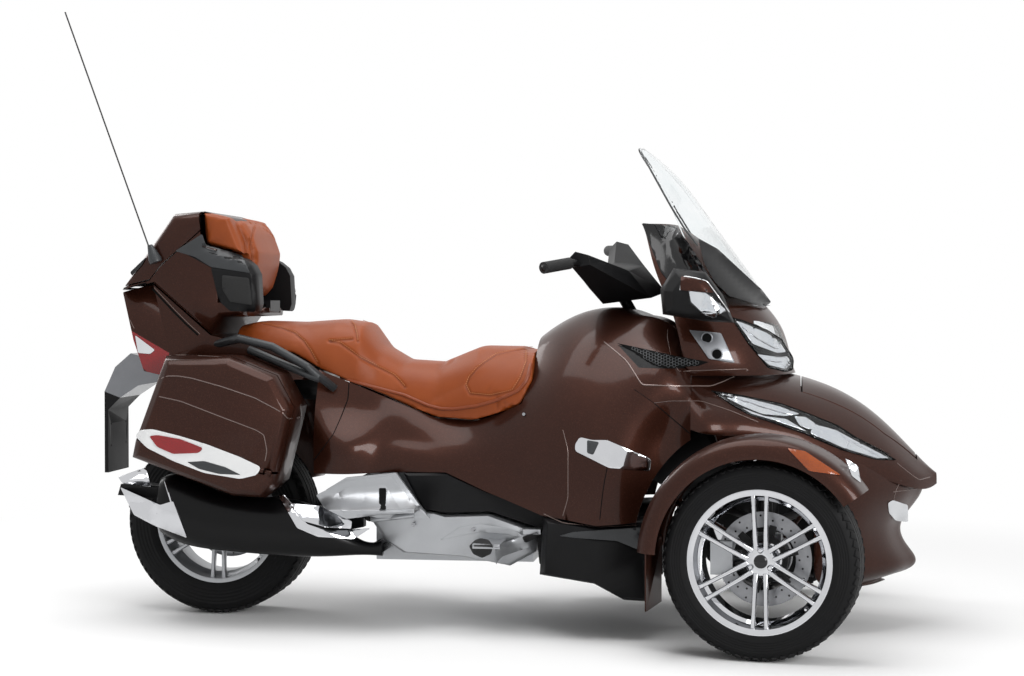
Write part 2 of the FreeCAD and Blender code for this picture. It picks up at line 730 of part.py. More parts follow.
def body_master():
    """Whole skin of the middle body, before it is parted into panels."""
    skin = body_skin(body_section_shares, panel_wall)
    start = Vector(column_x, 0, column_z) - column_axis() * body_half_width
    hole = cylinder(start, start + column_axis() * body_height, head_tube_radius + panel_gap)
    return skin.cut([above_seat_line(), below_lower_edge(), wheel_arch(), hole])


def cowl_fill():
    """Space inside the cowl."""
    return loft(level_wires(cowl_level_shares, cowl_outline_shares, 0))


def hood_fill():
    """Space inside the hood."""
    return body_fill(hood_section_shares)


def top_cover_space():
    """Side view of the top cover, extruded across the body."""
    line = side_points(top_cover_shares)
    corners = [Vector(line[-1].x, 0, level(1) + overrun), Vector(line[0].x, 0, level(1) + overrun)]
    return side_prism(line + corners, -body_half_width, body_half_width)


def fairing_space():
    """Side view of the side fairings, extruded across the body."""
    line = side_points(fairing_seam_shares)
    top = side_points(top_cover_shares)[2:]
    corners = [Vector(top[-1].x, 0, line[-1].z)]
    return side_prism(line + corners + list(reversed(top[1:])), -body_half_width, body_half_width)


def body_panels():
    """Top cover, side fairings, middle panels and the grilles between them."""
    master = body_master()
    cowl_space = cowl_fill()
    top = master.common(top_cover_space()).cut(cowl_space)
    window = side_prism(side_points(grille_shares), -body_half_width, body_half_width)
    grilles = top.common(window)
    top = top.cut(window)
    fairings = master.common(fairing_space())
    middle = master.cut([top_cover_space(), fairing_space()])
    return top, grilles, fairings, middle


def lid_outline(gap):
    """Plan view of the front lid, widened by a gap."""
    half = [Vector(station(x_share), y_share * body_half_width + gap, 0)
            for x_share, y_share in hood_lid_shares]
    half[0].x -= gap
    half[-1].x += gap
    return half + [Vector(point.x, -point.y, 0) for point in reversed(half)]


def lid_space(gap):
    """Plan view of the front lid, extruded upwards."""
    points = [Vector(point.x, point.y, cradle_low_z) for point in lid_outline(gap)]
    return prism(points, Vector(0, 0, level(1)))


def nose_hinge(skin):
    """Pin of the lid's hinge on its ears below the nose, and the knuckle that turns on the pin."""
    centre = Vector(nose_hinge_x, 0, nose_hinge_z)
    radius = pin_radius + hinge_bore_wall
    reach = Vector(0, nose_hinge_half, 0)
    ears = cylinder(centre - reach, centre + reach, pin_radius)
    for side in (-1, 1):
        low_y = min(side * nose_hinge_half, side * (nose_hinge_half - radius))
        low = Vector(nose_hinge_x - radius, low_y, nose_hinge_z - nose_hinge_half)
        stem = block(low, Vector(nose_hinge_x + radius, low_y + radius, nose_hinge_z))
        foot = block(low, Vector(nose_hinge_x + body_half_width, low_y + radius, low.z + radius))
        ears = ears.fuse([stem, foot, cylinder(Vector(nose_hinge_x, low_y, nose_hinge_z),
                                               Vector(nose_hinge_x, low_y + radius, nose_hinge_z), radius)])
    ears = ears.cut(skin)
    ears = min(ears.Solids, key=lambda solid: solid.CenterOfMass.x)
    middle = Vector(0, nose_hinge_half - radius - panel_gap, 0)
    web_high = centre + middle + Vector(radius, 0, nose_hinge_half)
    web = block(centre - middle - Vector(radius, 0, 0), web_high).common(hood_fill())
    turning = cylinder(centre - middle, centre + middle, radius).fuse(web)
    bore = cylinder(centre - middle * 2, centre + middle * 2, pin_radius + running_fit)
    return ears, turning, bore


def hood_parts():
    """Hood surround with its hinge pin, front lid with its hinge knuckle, and lower headlamps."""
    skin = body_skin(hood_section_shares, panel_wall)
    window = side_prism(side_points(headlamp_shares), -body_half_width, body_half_width)
    lamps = body_skin(hood_section_shares, lamp_wall).common(window)
    surround = skin.cut([lid_space(panel_gap), window, cowl_fill()])
    ears, turning, bore = nose_hinge(surround)
    lid = skin.common(lid_space(0)).fuse(turning).cut(bore)
    return Part.makeCompound([surround, ears]), lid, lamps


def fascia():
    """Nose below the hood, from the lip down to the chin."""
    shell = loft(level_wires(fascia_level_shares, fascia_outline_shares, panel_wall))
    return largest(shell.cut(hood_fill()))


def screen_wires(wall):
    """Level sections of the windscreen: strips, or closed outlines where there is no wall."""
    wires = []
    for z_share, tip_share, half_share, sweep_share in screen_level_shares:
        half = [Vector(station(tip_share) - sweep * sweep_share * body_length,
                       y_share * half_share * body_half_width, level(z_share))
                for y_share, sweep in reversed(screen_outline_shares)]
        outline = both_halves(half)
        wires.append(band(outline, Vector(0, 0, -1), wall) if wall else lens(outline))
    return wires


def windscreen():
    """Clear curved screen."""
    return loft(screen_wires(screen_wall))


def screen_mounts(cowl_space):
    """Studs that hold the windscreen in front of the cowl."""
    stud = cylinder(Vector(column_x, -screen_mount_y, screen_mount_z),
                    Vector(front_axle_x, -screen_mount_y, screen_mount_z), screen_mount_radius)
    behind = loft(screen_wires(0)).translated(Vector(-screen_wall - 3 * seam, 0, 0))
    stud = stud.common(behind).cut(cowl_space)
    stud = max(stud.Solids, key=lambda solid: solid.CenterOfMass.x)
    return [stud, mirrored(stud)]


def cowl_parts():
    """Cowl that carries the windscreen, the upper headlamps let into its face, and the dash on top."""
    shell = loft(level_wires(cowl_level_shares, cowl_outline_shares, panel_wall))
    thick = loft(level_wires(cowl_level_shares, cowl_outline_shares, lamp_wall))
    space = cowl_fill()
    window = prism([Vector(station(lamp_plane_share), -y_share * body_half_width, level(z_share))
                    for y_share, z_share in upper_lamp_shares], Vector(body_half_width, 0, 0))
    windows = pair(window)
    lamps = thick.common(windows)
    open_shell = shell.cut([windows, hood_fill()])
    top = level(cowl_level_shares[-1][0])
    front_x = station(cowl_level_shares[-1][1])
    rear_x = station(cowl_level_shares[-1][3])
    depth = (front_x - rear_x) * 0.2
    dash = side_prism([Vector(front_x, 0, top), Vector(rear_x, 0, top), Vector(rear_x, 0, top - depth),
                       Vector(front_x, 0, top - 3 * depth)], -body_half_width, body_half_width)
    dash = largest(dash.common(space).cut(shell))
    return Part.makeCompound([open_shell] + screen_mounts(space)), lamps, dash


def seat():
    """One-piece saddle for rider and passenger."""
    wires = []
    for x_share, half_share, low_share, high_share in seat_station_shares:
        low = level(low_share)
        rise = level(high_share) - low
        half = [Vector(station(x_share), y_share * half_share * body_half_width, low + z_share * rise)
                for y_share, z_share in seat_outline_shares]
        wires.append(lens(both_halves(half)))
    lift = Vector(0, 0, seam)
    return loft(wires, True).common(above_seat_line().translated(lift))


# Luggage and tail

def dished(outline, levels):
    """Outline lofted across the body; each level has its y and its size about the outline's middle."""
    middle = Vector(0, 0, 0)
    for point in outline:
        middle = middle + point * (1 / len(outline))
    wires = []
    for y, size in levels:
        wires.append(polygon([Vector(middle.x + (point.x - middle.x) * size, y,
                                     middle.z + (point.z - middle.z) * size) for point in outline]))
    return loft(wires, True)


def crowned(outline, half_width, edge, sizes):
    """Outline lofted evenly about the middle line, smaller towards both sides."""
    low = [(-half_width, sizes[0]), (-half_width + edge * 0.4, sizes[1]),
           (-half_width + edge * 1.4, sizes[2])]
    high = [(-y, size) for y, size in reversed(low)]
    return dished(outline, low + high)


pannier_levels = (
    (-pannier_inner_y, 0.97),
    (-pannier_outer_y + door_depth * 1.3, 1.0),
    (-pannier_outer_y + door_depth * 0.4, 0.95),
    (-pannier_outer_y, 0.86),
)


def pannier_fill():
    """Solid outside of the right-hand pannier."""
    return dished(side_points(pannier_shares), pannier_levels)


def pannier_shell():
    """Right-hand pannier with its wall, before its door is parted from it."""
    inner_levels = [(y, size - 0.022) for y, size in pannier_levels]
    inner_levels[0] = (-pannier_inner_y - pannier_wall, inner_levels[0][1])
    inner_levels[-1] = (-pannier_outer_y + pannier_wall, inner_levels[-1][1])
    return pannier_fill().cut(dished(side_points(pannier_shares), inner_levels))


def door_axis():
    """Two points on the axis of the pannier door's hinge."""
    start, end = side_points(door_line_shares, -pannier_outer_y + pannier_wall * 0.75)
    return start, end


def door_hinges():
    """Places of the hinge along its axis, as the middle of each hinge."""
    start, end = door_axis()
    return [start + (end - start) * share for share in (0.25, 0.75)]


def pannier_parts():
    """Right-hand pannier and its door, hinged along the door's lower edge."""
    shell = pannier_shell()
    start, end = door_axis()
    path = (end - start).normalize()
    up = Vector(-path.z, 0, path.x)
    split = -pannier_outer_y + door_depth
    reach = level(1)

    def half_space(offset, rise, low_y, high_y):
        first = start + up * offset - path * reach
        last = end + up * offset + path * reach
        corners = [first, last, last + up * rise, first + up * rise]
        return side_prism(corners, low_y, high_y)

    outside = -pannier_outer_y - overrun
    door = shell.common(half_space(hinge_gap, reach, outside, split - panel_gap))
    tub = shell.cut(half_space(-hinge_gap, reach, outside, split))
    radius = pin_radius + hinge_bore_wall
    half = path * hinge_length
    tab = up * radius * 2
    inward = Vector(0, radius, 0)
    tub_adds = []
    door_adds = []
    bores = []
    for middle in door_hinges():
        tub = tub.cut(cylinder(middle - half * 1.25, middle + half * 1.25, radius + hinge_gap))
        tub_adds.append(cylinder(middle - half * 2, middle + half * 2, pin_radius))
        for side in (-1, 1):
            near = middle + half * side * 1.25
            far = middle + half * side * 2
            door = door.cut(cylinder(near - half * side * 0.2, far + half * side * 0.2, radius + hinge_gap))
            tub_adds += [cylinder(near, far, radius), prism([near, far, far - tab, near - tab], inward)]
        bores.append(cylinder(middle - half * 2, middle + half * 2, pin_radius + running_fit))
        door_tab = prism([middle - half, middle + half, middle + half + tab, middle - half + tab], inward)
        door_adds += [cylinder(middle - half, middle + half, radius), door_tab]
    return tub.fuse(tub_adds), door.fuse(door_adds).cut(bores)


def case_levels_shell():
    """Outer solid and inner space of the whole top case."""
    outline = side_points(case_shares)
    outer = crowned(outline, case_half_width, case_edge, (0.88, 0.96, 1.0))
    inner = crowned(outline, case_half_width - case_wall, case_edge, (0.85, 0.93, 0.97))
    return outer, inner


def pods():
    """Arm-rest pods with loudspeakers beside the backrest."""
    outline = side_points(pod_shares)
    edge = case_edge * 0.5
    pod = dished(outline, ((-case_half_width + seam, 0.84), (-case_half_width + edge, 0.97),
                           (-case_half_width + 2 * edge, 1.0), (-pod_inner_y, 1.0)))
    return pod


def case_parts():
    """Top case, and its lid with the arm that carries the backrest to the hinge."""
    outer, inner = case_levels_shell()
    shell = outer.cut(inner)
    seam_line = side_points(lid_seam_shares)
    high = level(1) + case_half_width * 2
    above = seam_line + [Vector(seam_line[-1].x, 0, high), Vector(seam_line[0].x, 0, high)]
    lid = shell.common(side_prism(moved(above, 0, panel_gap), -body_half_width, body_half_width))
    lid = lid.cut(pair(backrest_wing(seam)))
    case = shell.cut(side_prism(above, -body_half_width, body_half_width))
    pod_room = side_prism(side_points(pod_shares), -case_half_width - overrun, -pod_inner_y + seam)
    wing_room = side_prism(moved(side_points(backrest_wing_shares), 0, -panel_gap),
                           -case_half_width - overrun, -wing_inner_y + panel_gap)
    case = case.cut([pair(pod_room), pair(wing_room), pair(pods())])
    half = lid_arm_half_width
    axis_start = Vector(lid_hinge_x, -half, lid_hinge_z)
    axis_end = Vector(lid_hinge_x, half, lid_hinge_z)
    radius = pin_radius * 2
    out = Vector(0, overrun, 0)
    arm = side_prism(side_points(lid_arm_shares), -half, half).cut([inner, backrest()])
    arm = arm.fuse(cylinder(axis_start, axis_end, radius))
    arm = arm.cut(cylinder(axis_start - out, axis_end + out, pin_radius + running_fit))
    lid = lid.fuse(arm)
    pin_reach = Vector(0, panel_gap + radius, 0)
    ears = cylinder(axis_start - pin_reach, axis_end + pin_reach, pin_radius)
    for side in (-1, 1):
        near = side * (half + panel_gap)
        far = side * (half + panel_gap + radius)
        low = Vector(lid_hinge_x - overrun, min(near, far), lid_hinge_z - radius)
        ear = block(low, Vector(lid_hinge_x + radius, max(near, far), lid_hinge_z + radius))
        ears = ears.fuse(ear)
    return case.fuse(ears.cut(inner)), lid


def backrest_wing(growth=0.0):
    """Right-hand wing of the back cushion, which wraps the lid's corner, larger by a growth."""
    edge = case_edge * 0.5
    size = growth / (case_edge * 2)
    return dished(side_points(backrest_wing_shares), (
        (-wing_outer_y - growth * body_half_width, 0.86 + size), (-wing_outer_y + edge, 1.0 + size),
        (-wing_inner_y + growth, 1.0 + size)))


def backrest():
    """Passenger's back cushion between the pods, with its two wings."""
    outline = side_points(backrest_shares)
    half = pod_inner_y - panel_gap
    cushion = dished(outline, ((-half, 0.80), (-half + case_edge, 0.96), (0, 1.0), (half - case_edge, 0.96),
                               (half, 0.80)))
    wing = backrest_wing()
    return cushion.fuse([wing, mirrored(wing)])


def tail_fill():
    """Solid outside of the tail."""
    return crowned(side_points(tail_shares), pannier_inner_y - seam, case_edge, (0.97, 0.985, 1.0))


def tail_parts():
    """Tail between the panniers with the pillars below the lid, and its lamps."""
    outline = side_points(tail_shares)
    outer = tail_fill()
    shell = outer.cut(crowned(outline, pannier_inner_y - seam - panel_wall, case_edge, (0.92, 0.935, 0.95)))
    thick = outer.cut(crowned(outline, pannier_inner_y - seam - lamp_wall, case_edge, (0.87, 0.885, 0.90)))
    window = side_prism(side_points(tail_lamp_shares), -body_half_width, -pannier_inner_y * 0.55)
    windows = pair(window)
    return shell.cut(windows), thick.common(windows)


def plate_holder():
    """Holder of the number plate below the tail, with its two pairs of screw holes."""
    outline = side_points(plate_bracket_shares)
    body = side_prism(outline, -plate_half_width, plate_half_width).cut(tail_fill())
    middle_z = (plate_high_z + plate_low_z) / 2
    for side_y in (-1, 1):
        for side_z in (-1, 1):
            start = Vector(plate_x - overrun, side_y * plate_hole_half_y,
                           middle_z + side_z * plate_hole_half_z)
            body = body.cut(cylinder(start, start + Vector(2 * overrun, 0, 0), plate_hole_radius))
    return body


def antenna():
    """Whip antenna on a ball beside the lid."""
    y = -case_half_width - antenna_ball_radius - seam
    foot = Vector(antenna_foot_x, y, antenna_foot_z)
    tip = Vector(antenna_tip_x, y, antenna_tip_z)
    stem = cylinder(foot, foot + Vector(0, 2 * antenna_ball_radius, 0), antenna_ball_radius * 0.7)
    outer, inner = case_levels_shell()
    whip = cylinder(foot, tip, antenna_radius)
    return Part.makeSphere(antenna_ball_radius, foot).fuse([whip, stem]).cut(outer)


def grab_rails():
    """Passenger's grab rails, each a curved handle over a lower bar."""
    keep_out = [tail_fill(), pannier_fill(), mirrored(pannier_fill()), body_fill(body_section_shares)]
    rails = []
    for shares in (grab_rail_shares, grab_bar_shares):
        points = [Vector(station(x), -y * body_half_width, level(z)) for x, y, z in shares]
        rails.append(rod(points, rail_radius))
    rail = rails[0].fuse(rails[1]).cut(keep_out)
    return pair(largest(rail))


# Frame, engine and drive

def across(x, z, skin):
    """Cross tube of the frame that ends on the inside of a skin."""
    bar = cylinder(Vector(x, -body_half_width, z), Vector(x, body_half_width, z), cross_tube_radius)
    return largest(bar.cut(skin))


def frame(skin):
    """Spine, rear rails, head tube and the front cradle with its towers."""
    spine = side_prism(side_points(spine_shares), -spine_half_width, spine_half_width)
    pieces = []
    for side in (-1, 1):
        low_y = min(side * rail_inner_y, side * rail_outer_y)
        high_y = max(side * rail_inner_y, side * rail_outer_y)
        pieces.append(side_prism(side_points(rail_shares), low_y, high_y))
    low = side_points(rail_shares)[0]
    pieces.append(block(Vector(low.x - overrun, -rail_outer_y, low.z),
                        Vector(low.x, rail_outer_y, low.z + overrun * 0.8)))
    outer = block(Vector(front_axle_x - cradle_half_length, -cradle_half_width, cradle_low_z),
                  Vector(front_axle_x + cradle_half_length, cradle_half_width, cradle_high_z))
    inner = block(Vector(front_axle_x - cradle_half_length - overrun, -cradle_half_width + cradle_wall,
                         cradle_low_z + cradle_wall),
                  Vector(front_axle_x + cradle_half_length + overrun, cradle_half_width - cradle_wall,
                         cradle_high_z - cradle_wall))
    pieces.append(outer.cut(inner))
    for side in (-1, 1):
        near = side * (cradle_half_width - overrun)
        far = side * (shock_upper_y + shock_radius)
        low_x = front_axle_x - tower_half_length
        high_x = front_axle_x + tower_half_length
        tower = block(Vector(low_x, min(near, far), shock_upper_z - tower_half_length),
                      Vector(high_x, max(near, far), shock_upper_z + tower_half_length))
        post_far = side * cradle_half_width
        post = block(Vector(low_x, min(near, post_far), cradle_high_z - cradle_wall),
                     Vector(high_x, max(near, post_far), shock_upper_z))
        pieces += [tower, post]
    for point in side_points(cross_tube_shares):
        pieces.append(across(point.x, point.z, skin))
    axis = column_axis()
    head_start = Vector(column_x, 0, column_z) - axis * (column_length + column_radius)
    head_end = head_start + axis * (column_length * 0.62)
    pieces.append(cylinder(head_start, head_end, head_tube_radius))
    body = spine.fuse(pieces)
    body = body.cut(cylinder(head_start - axis, head_end + axis, column_radius + running_fit))
    return body.cut(shock_fill())


def shock_fill():
    """Room for the ends of the spring units."""
    unit = shock(seam)
    return pair(unit)


def shock(margin):
    """Right-hand spring unit, widened by a margin."""
    lower = Vector(front_axle_x, -shock_lower_y, front_tyre_radius - kingpin_reach)
    upper = Vector(front_axle_x, -shock_upper_y, shock_upper_z)
    path = (upper - lower).normalize()
    spring_start = lower + path * shock_radius * 2
    spring_end = upper - path * shock_radius * 1.6
    body = cylinder(lower, upper + path * margin, arm_tube_radius + margin)
    return body.fuse(cylinder(spring_start, spring_end, shock_radius + margin))


def a_arm(z, cross_y):
    """One wishbone of the right-hand side, between the frame and the kingpin's eye."""
    end = Vector(front_axle_x, -kingpin_y, z)
    shape = cylinder(end - Vector(0, 0, eye_height / 2), end + Vector(0, 0, eye_height / 2), eye_radius)
    along = Vector(arm_tube_radius, 0, 0)
    for side in (-1, 1):
        start = Vector(front_axle_x + side * arm_pivot_spread, -arm_pivot_y, z)
        shape = shape.fuse(cylinder(start, end, arm_tube_radius))
        shape = shape.fuse(cylinder(start - along, start + along, arm_pivot_y - cradle_half_width - seam))
    if cross_y:
        half = Vector(arm_pivot_spread * (kingpin_y - cross_y) / (kingpin_y - arm_pivot_y), 0, 0)
        middle = Vector(front_axle_x, -cross_y, z)
        shape = shape.fuse(cylinder(middle - half, middle + half, arm_tube_radius))
    reach = Vector(0, 0, eye_height)
    return shape.cut(cylinder(end - reach, end + reach, kingpin_radius + running_fit))


def suspension():
    """Wishbones and spring units of both front wheels."""
    lower = a_arm(front_tyre_radius - kingpin_reach, shock_lower_y)
    upper = a_arm(front_tyre_radius + kingpin_reach, 0)
    pieces = [lower, upper, largest(shock(0).cut(lower))]
    return Part.makeCompound([shape for piece in pieces for shape in (piece, mirrored(piece))])


def engine():
    """Engine as one block."""
    return block(Vector(engine_rear_x, -engine_half_width, engine_low_z),
                 Vector(engine_front_x, engine_half_width, engine_high_z - seam))


def engine_cover():
    """Cover at the right-hand side of the engine."""
    return dished(side_points(engine_cover_shares), (
        (-engine_half_width - seam, 1.0), (-engine_cover_y + panel_gap * 3, 1.0), (-engine_cover_y, 0.93)))


def under_panel():
    """Dark panel between the painted body and the engine's cover."""
    return dished(moved(side_points(under_panel_shares), 0, -seam), (
        (-engine_half_width - seam, 1.0), (-engine_cover_y + 2 * panel_gap, 1.0), (-engine_cover_y, 0.94)))


def lower_fairing():
    """Hollow air deflector behind the right-hand front wheel."""
    outline = side_points(lower_fairing_shares)
    outer = dished(outline, (
        (-engine_half_width, 1.0), (-arch_radius, 1.0), (-arch_radius - overrun * 0.8, 0.88)))
    inner = dished(outline, (
        (-engine_half_width - panel_wall, 0.96), (-arch_radius - overrun * 0.8 + panel_wall, 0.86)))
    return outer.cut(inner)


def lower_panels(skin):
    """Dark panels of both sides, below the painted body."""
    panel = under_panel().cut(skin)
    fairing = lower_fairing().cut([skin, panel])
    return Part.makeCompound([pair(panel), pair(fairing)])


def swingarm():
    """Rear swinging arm with its pivot tube and the rear axle."""
    outline = side_points(swingarm_shares)
    pieces = []
    for side in (-1, 1):
        near = side * swingarm_inner_y
        far = side * swingarm_outer_y
        pieces.append(side_prism(outline, min(near, far), max(near, far)))
    pivot_x = engine_rear_x - swing_pivot_radius - seam
    pieces.append(cylinder(Vector(pivot_x, -swingarm_outer_y, swing_pivot_z),
                           Vector(pivot_x, swingarm_outer_y, swing_pivot_z), swing_pivot_radius))
    bridge_x = rear_axle_x + rear_tyre_radius + swing_pivot_radius
    pieces.append(block(Vector(bridge_x, -swingarm_outer_y, swing_pivot_z - 2 * swing_pivot_radius),
                        Vector(bridge_x + 2 * swing_pivot_radius, swingarm_outer_y, swing_pivot_z)))
    axle_half = Vector(0, swingarm_outer_y + axle_radius, 0)
    wheel_middle = Vector(rear_axle_x, 0, rear_tyre_radius)
    pieces.append(cylinder(wheel_middle - axle_half, wheel_middle + axle_half, axle_radius))
    return pieces[0].fuse(pieces[1:]).removeSplitter()


def silencer():
    """Silencer beside the rear wheel, with its pipe and two tail pipes."""
    wires = []
    for x_share, z_share, half_share, width_share in silencer_station_shares:
        centre = Vector(station(x_share), -silencer_y, level(z_share))
        long_half = level(half_share)
        short_half = silencer_half_width * width_share
        axes = sorted(((long_half, Vector(0, 0, 1)), (short_half, Vector(0, 1, 0))),
                      key=lambda axis: -axis[0])
        rim_curve = Part.Ellipse(centre + axes[0][1] * axes[0][0], centre + axes[1][1] * axes[1][0], centre)
        wires.append(Part.Wire([rim_curve.toShape()]))
    body = loft(wires)
    reach = tail_pipe_radius * 1.4
    pipes = []
    for outline in tail_pipe_shares:
        pipe = side_prism(side_points(outline), -silencer_y - reach, -tail_pipe_y + reach)
        pipes.append(pipe)
    inlet = Vector(header_x, -silencer_y, level(silencer_station_shares[-1][1]))
    pipes.append(cylinder(Vector(inlet.x, -engine_half_width - seam, inlet.z), inlet, tail_pipe_radius))
    return body.fuse(pipes)


def footrests():
    """Engine's side covers, passenger's foot boards on their brackets, rider's pegs and the brake pedal."""
    bracket = side_prism(side_points(foot_bracket_shares), -engine_cover_y - bracket_wall,
                         -engine_cover_y - seam)
    board = side_prism(side_points(footboard_shares), -footboard_y, -engine_cover_y - bracket_wall)
    peg = block(Vector(peg_x - peg_half_length, -peg_y, peg_z - footboard_wall / 2),
                Vector(peg_x + peg_half_length, -engine_cover_y - seam, peg_z + footboard_wall / 2))
    return Part.makeCompound([pair(engine_cover()), pair(bracket.fuse(board)), pair(peg), brake_pedal()])


def brake_pedal():
    """Brake pedal beside the right-hand peg."""
    pad = block(Vector(pad_x - pad_half, -peg_y + 2 * pad_half, pad_z - footboard_wall / 2),
                Vector(pad_x + pad_half, -engine_cover_y - bracket_wall, pad_z + footboard_wall / 2))
    arm_points = [Vector(peg_x + peg_half_length + pad_half, 0, peg_z - footboard_wall),
                  Vector(pad_x + pad_half, 0, pad_z - footboard_wall / 2),
                  Vector(pad_x + pad_half, 0, pad_z + footboard_wall / 2),
                  Vector(peg_x + peg_half_length + pad_half, 0, peg_z + footboard_wall)]
    arm = side_prism(arm_points, -engine_cover_y - bracket_wall, -engine_cover_y - seam)
    return pad.fuse(arm)


# Steering

def turned_bar(shape):
    """Handlebar part at the angle at which the steering stands."""
    return shape.rotated(Vector(column_x, 0, column_z), column_axis(), -bar_rest_deg)


def bar_points():
    """Route of the right-hand half of the bar."""
    return [Vector(station(x), -y * body_half_width, level(z)) for x, y, z in bar_shares]


def handlebar_parts():
    """Bar with its column, the grips, and the cover with the switch pods."""
    points = bar_points()
    left = [Vector(point.x, -point.y, point.z) for point in points[1:]]
    bar = rod(list(reversed(left)) + points, bar_radius)
    axis = column_axis()
    start = Vector(column_x, 0, column_z) - axis * column_length
    column = cylinder(start, points[0], column_radius)
    bar = bar.fuse(column)
    path = (points[-1] - points[-2]).normalize()
    grip = ring(points[-1] - path * grip_length, points[-1], grip_radius, bar_radius)
    end_y = abs(points[-2].y) - grip_radius
    outlines = {}
    for name, shares in (("middle", cover_middle_shares), ("end", cover_end_shares)):
        outlines[name] = side_points(shares)
    wires = []
    for y, name in ((-end_y, "end"), (-cover_half_width, "middle"), (cover_half_width, "middle"),
                    (end_y, "end")):
        wires.append(polygon([Vector(point.x, y, point.z) for point in outlines[name]]))
    cover = loft(wires, True).cut(bar)
    return turned_bar(bar), turned_bar(pair(grip)), turned_bar(cover)


def mirror_pods(cowl_space):
    """Rear-view mirrors with their indicators, on stalks from the cowl."""
    outline = side_points(mirror_shares)
    width = case_edge * 2.3
    pod = dished(outline, ((-mirror_y + width, 0.5), (-mirror_y + width / 2, 0.85), (-mirror_y, 1.0),
                           (-mirror_y - width / 2, 0.92), (-mirror_y - width * 0.85, 0.6)))
    middle = sum((point.x for point in outline), 0.0) / len(outline)
    height = sum((point.z for point in outline), 0.0) / len(outline)
    stalk = cylinder(Vector(middle, -mirror_y + width / 2, height),
                     Vector(middle, -screen_mount_y, height - overrun * 0.6), mirror_stalk_radius)
    stalk = stalk.cut(cowl_space)
    return pair(pod.fuse(stalk))


def front_trunk():
    """Open tub of the front luggage space."""
    outline = side_points(tub_shares)
    outer = side_prism(outline, -tub_half_width, tub_half_width)
    wall = Vector(tub_wall, 0, 0)
    floor = Vector(0, 0, tub_wall)
    lift = Vector(0, 0, overrun)
    inset_outline = [outline[0] + wall + floor, outline[1] - wall + floor, outline[2] - wall,
                     outline[3] - wall + lift, outline[4] + wall + lift]
    inner = side_prism(inset_outline, -tub_half_width + tub_wall, tub_half_width - tub_wall)
    return outer.cut(inner)


def save(name, shape):
    """Write one sub-part."""
    print(name, len(shape.Solids), round(shape.Volume / 1000), shape.isValid())
    shape.exportStep("parts/" + name + ".step")


def main():
    """Build and write every sub-part."""
    os.makedirs("parts", exist_ok=True)
    front_tyre = at_front(tyre(front_tyre_radius, front_tyre_width))
    front_rim = at_front(rim(front_rim_width, hub_depth, front_disc_y))
    front_knuckle = at_front(knuckle())
    front_fender = at_front(fender())
    for side, hand in ((-1, "right"), (1, "left")):
        save("front_tyre_" + hand, steered(front_tyre, side))
        save("front_rim_" + hand, steered(front_rim, side))
        save("knuckle_" + hand, steered(front_knuckle, side))
        save("fender_" + hand, steered(front_fender, side))
    rear_place = Vector(rear_axle_x, 0, rear_tyre_radius)
    save("rear_tyre", tyre(rear_tyre_radius, rear_tyre_width).translated(rear_place))
    save("rear_rim", rim(rear_rim_width, rear_hub_depth, rear_disc_y).translated(rear_place))
    save("suspension", suspension())
    skin = body_master()
    save("frame", frame(skin))
    save("engine", engine())
    save("swingarm", swingarm())
    save("silencer", silencer())
    save("footrests", footrests())
    save("lower_panels", lower_panels(skin))
    top, grilles, fairings, middle = body_panels()
    save("top_cover", top)
    save("side_fairings", fairings)
    save("middle_panels", middle)
    surround, lid, lamps = hood_parts()
    save("hood_surround", surround)
    save("front_lid", lid)
    save("front_trunk", front_trunk())
    save("fascia", fascia())
    cowl, upper_lamps, dash = cowl_parts()
    save("cowl", cowl)
    save("headlamps", Part.makeCompound([lamps, upper_lamps]))
    save("dash_and_grilles", Part.makeCompound([dash, grilles]))
    save("mirrors", mirror_pods(cowl_fill()))
    save("windscreen", windscreen())
    bar, grips, cover = handlebar_parts()
    save("handlebar", bar)
    save("grips", grips)
    save("handlebar_cover", cover)
    save("seat", seat())
    tub, door = pannier_parts()
    for hand, place in (("right", lambda shape: shape), ("left", mirrored)):
        save("pannier_" + hand, place(tub))
        save("pannier_door_" + hand, place(door))
    case, case_lid = case_parts()
    save("top_case", case)
    save("top_case_lid", case_lid)
    save("arm_rests", pair(pods()))
    save("backrest", backrest())
    tail, tail_lamps = tail_parts()
    save("tail", tail)
    save("tail_lamps", tail_lamps)
    save("plate_holder", plate_holder())
    save("antenna", antenna())
    save("grab_rails", grab_rails())


main()
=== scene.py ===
"""Looks of the touring motorized trike: finishes, soft parts, wheels, lamps, trim, light and camera."""
import json
import logging
import math
from dataclasses import dataclass
from enum import Enum
from typing import Iterable, Sequence

import bmesh
import bpy
from mathutils import Matrix, Vector
from mathutils.bvhtree import BVHTree
from mathutils.kdtree import KDTree


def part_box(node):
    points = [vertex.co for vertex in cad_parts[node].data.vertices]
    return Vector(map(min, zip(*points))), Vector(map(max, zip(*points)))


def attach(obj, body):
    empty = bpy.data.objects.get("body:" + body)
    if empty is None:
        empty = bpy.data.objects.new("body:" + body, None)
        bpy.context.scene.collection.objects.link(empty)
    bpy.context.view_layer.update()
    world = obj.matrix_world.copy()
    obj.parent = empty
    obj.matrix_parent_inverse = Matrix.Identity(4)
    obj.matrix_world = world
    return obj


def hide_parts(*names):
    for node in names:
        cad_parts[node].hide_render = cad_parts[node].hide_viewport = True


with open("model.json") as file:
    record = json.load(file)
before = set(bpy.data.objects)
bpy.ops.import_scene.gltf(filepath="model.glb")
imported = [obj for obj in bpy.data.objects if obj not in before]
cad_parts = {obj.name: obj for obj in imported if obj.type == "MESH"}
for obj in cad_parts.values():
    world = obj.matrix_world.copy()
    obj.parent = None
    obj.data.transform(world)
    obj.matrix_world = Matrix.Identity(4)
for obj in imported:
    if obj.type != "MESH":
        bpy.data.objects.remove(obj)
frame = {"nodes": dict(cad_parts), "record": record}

LOG = logging.getLogger("trike")
Point = Sequence[float]
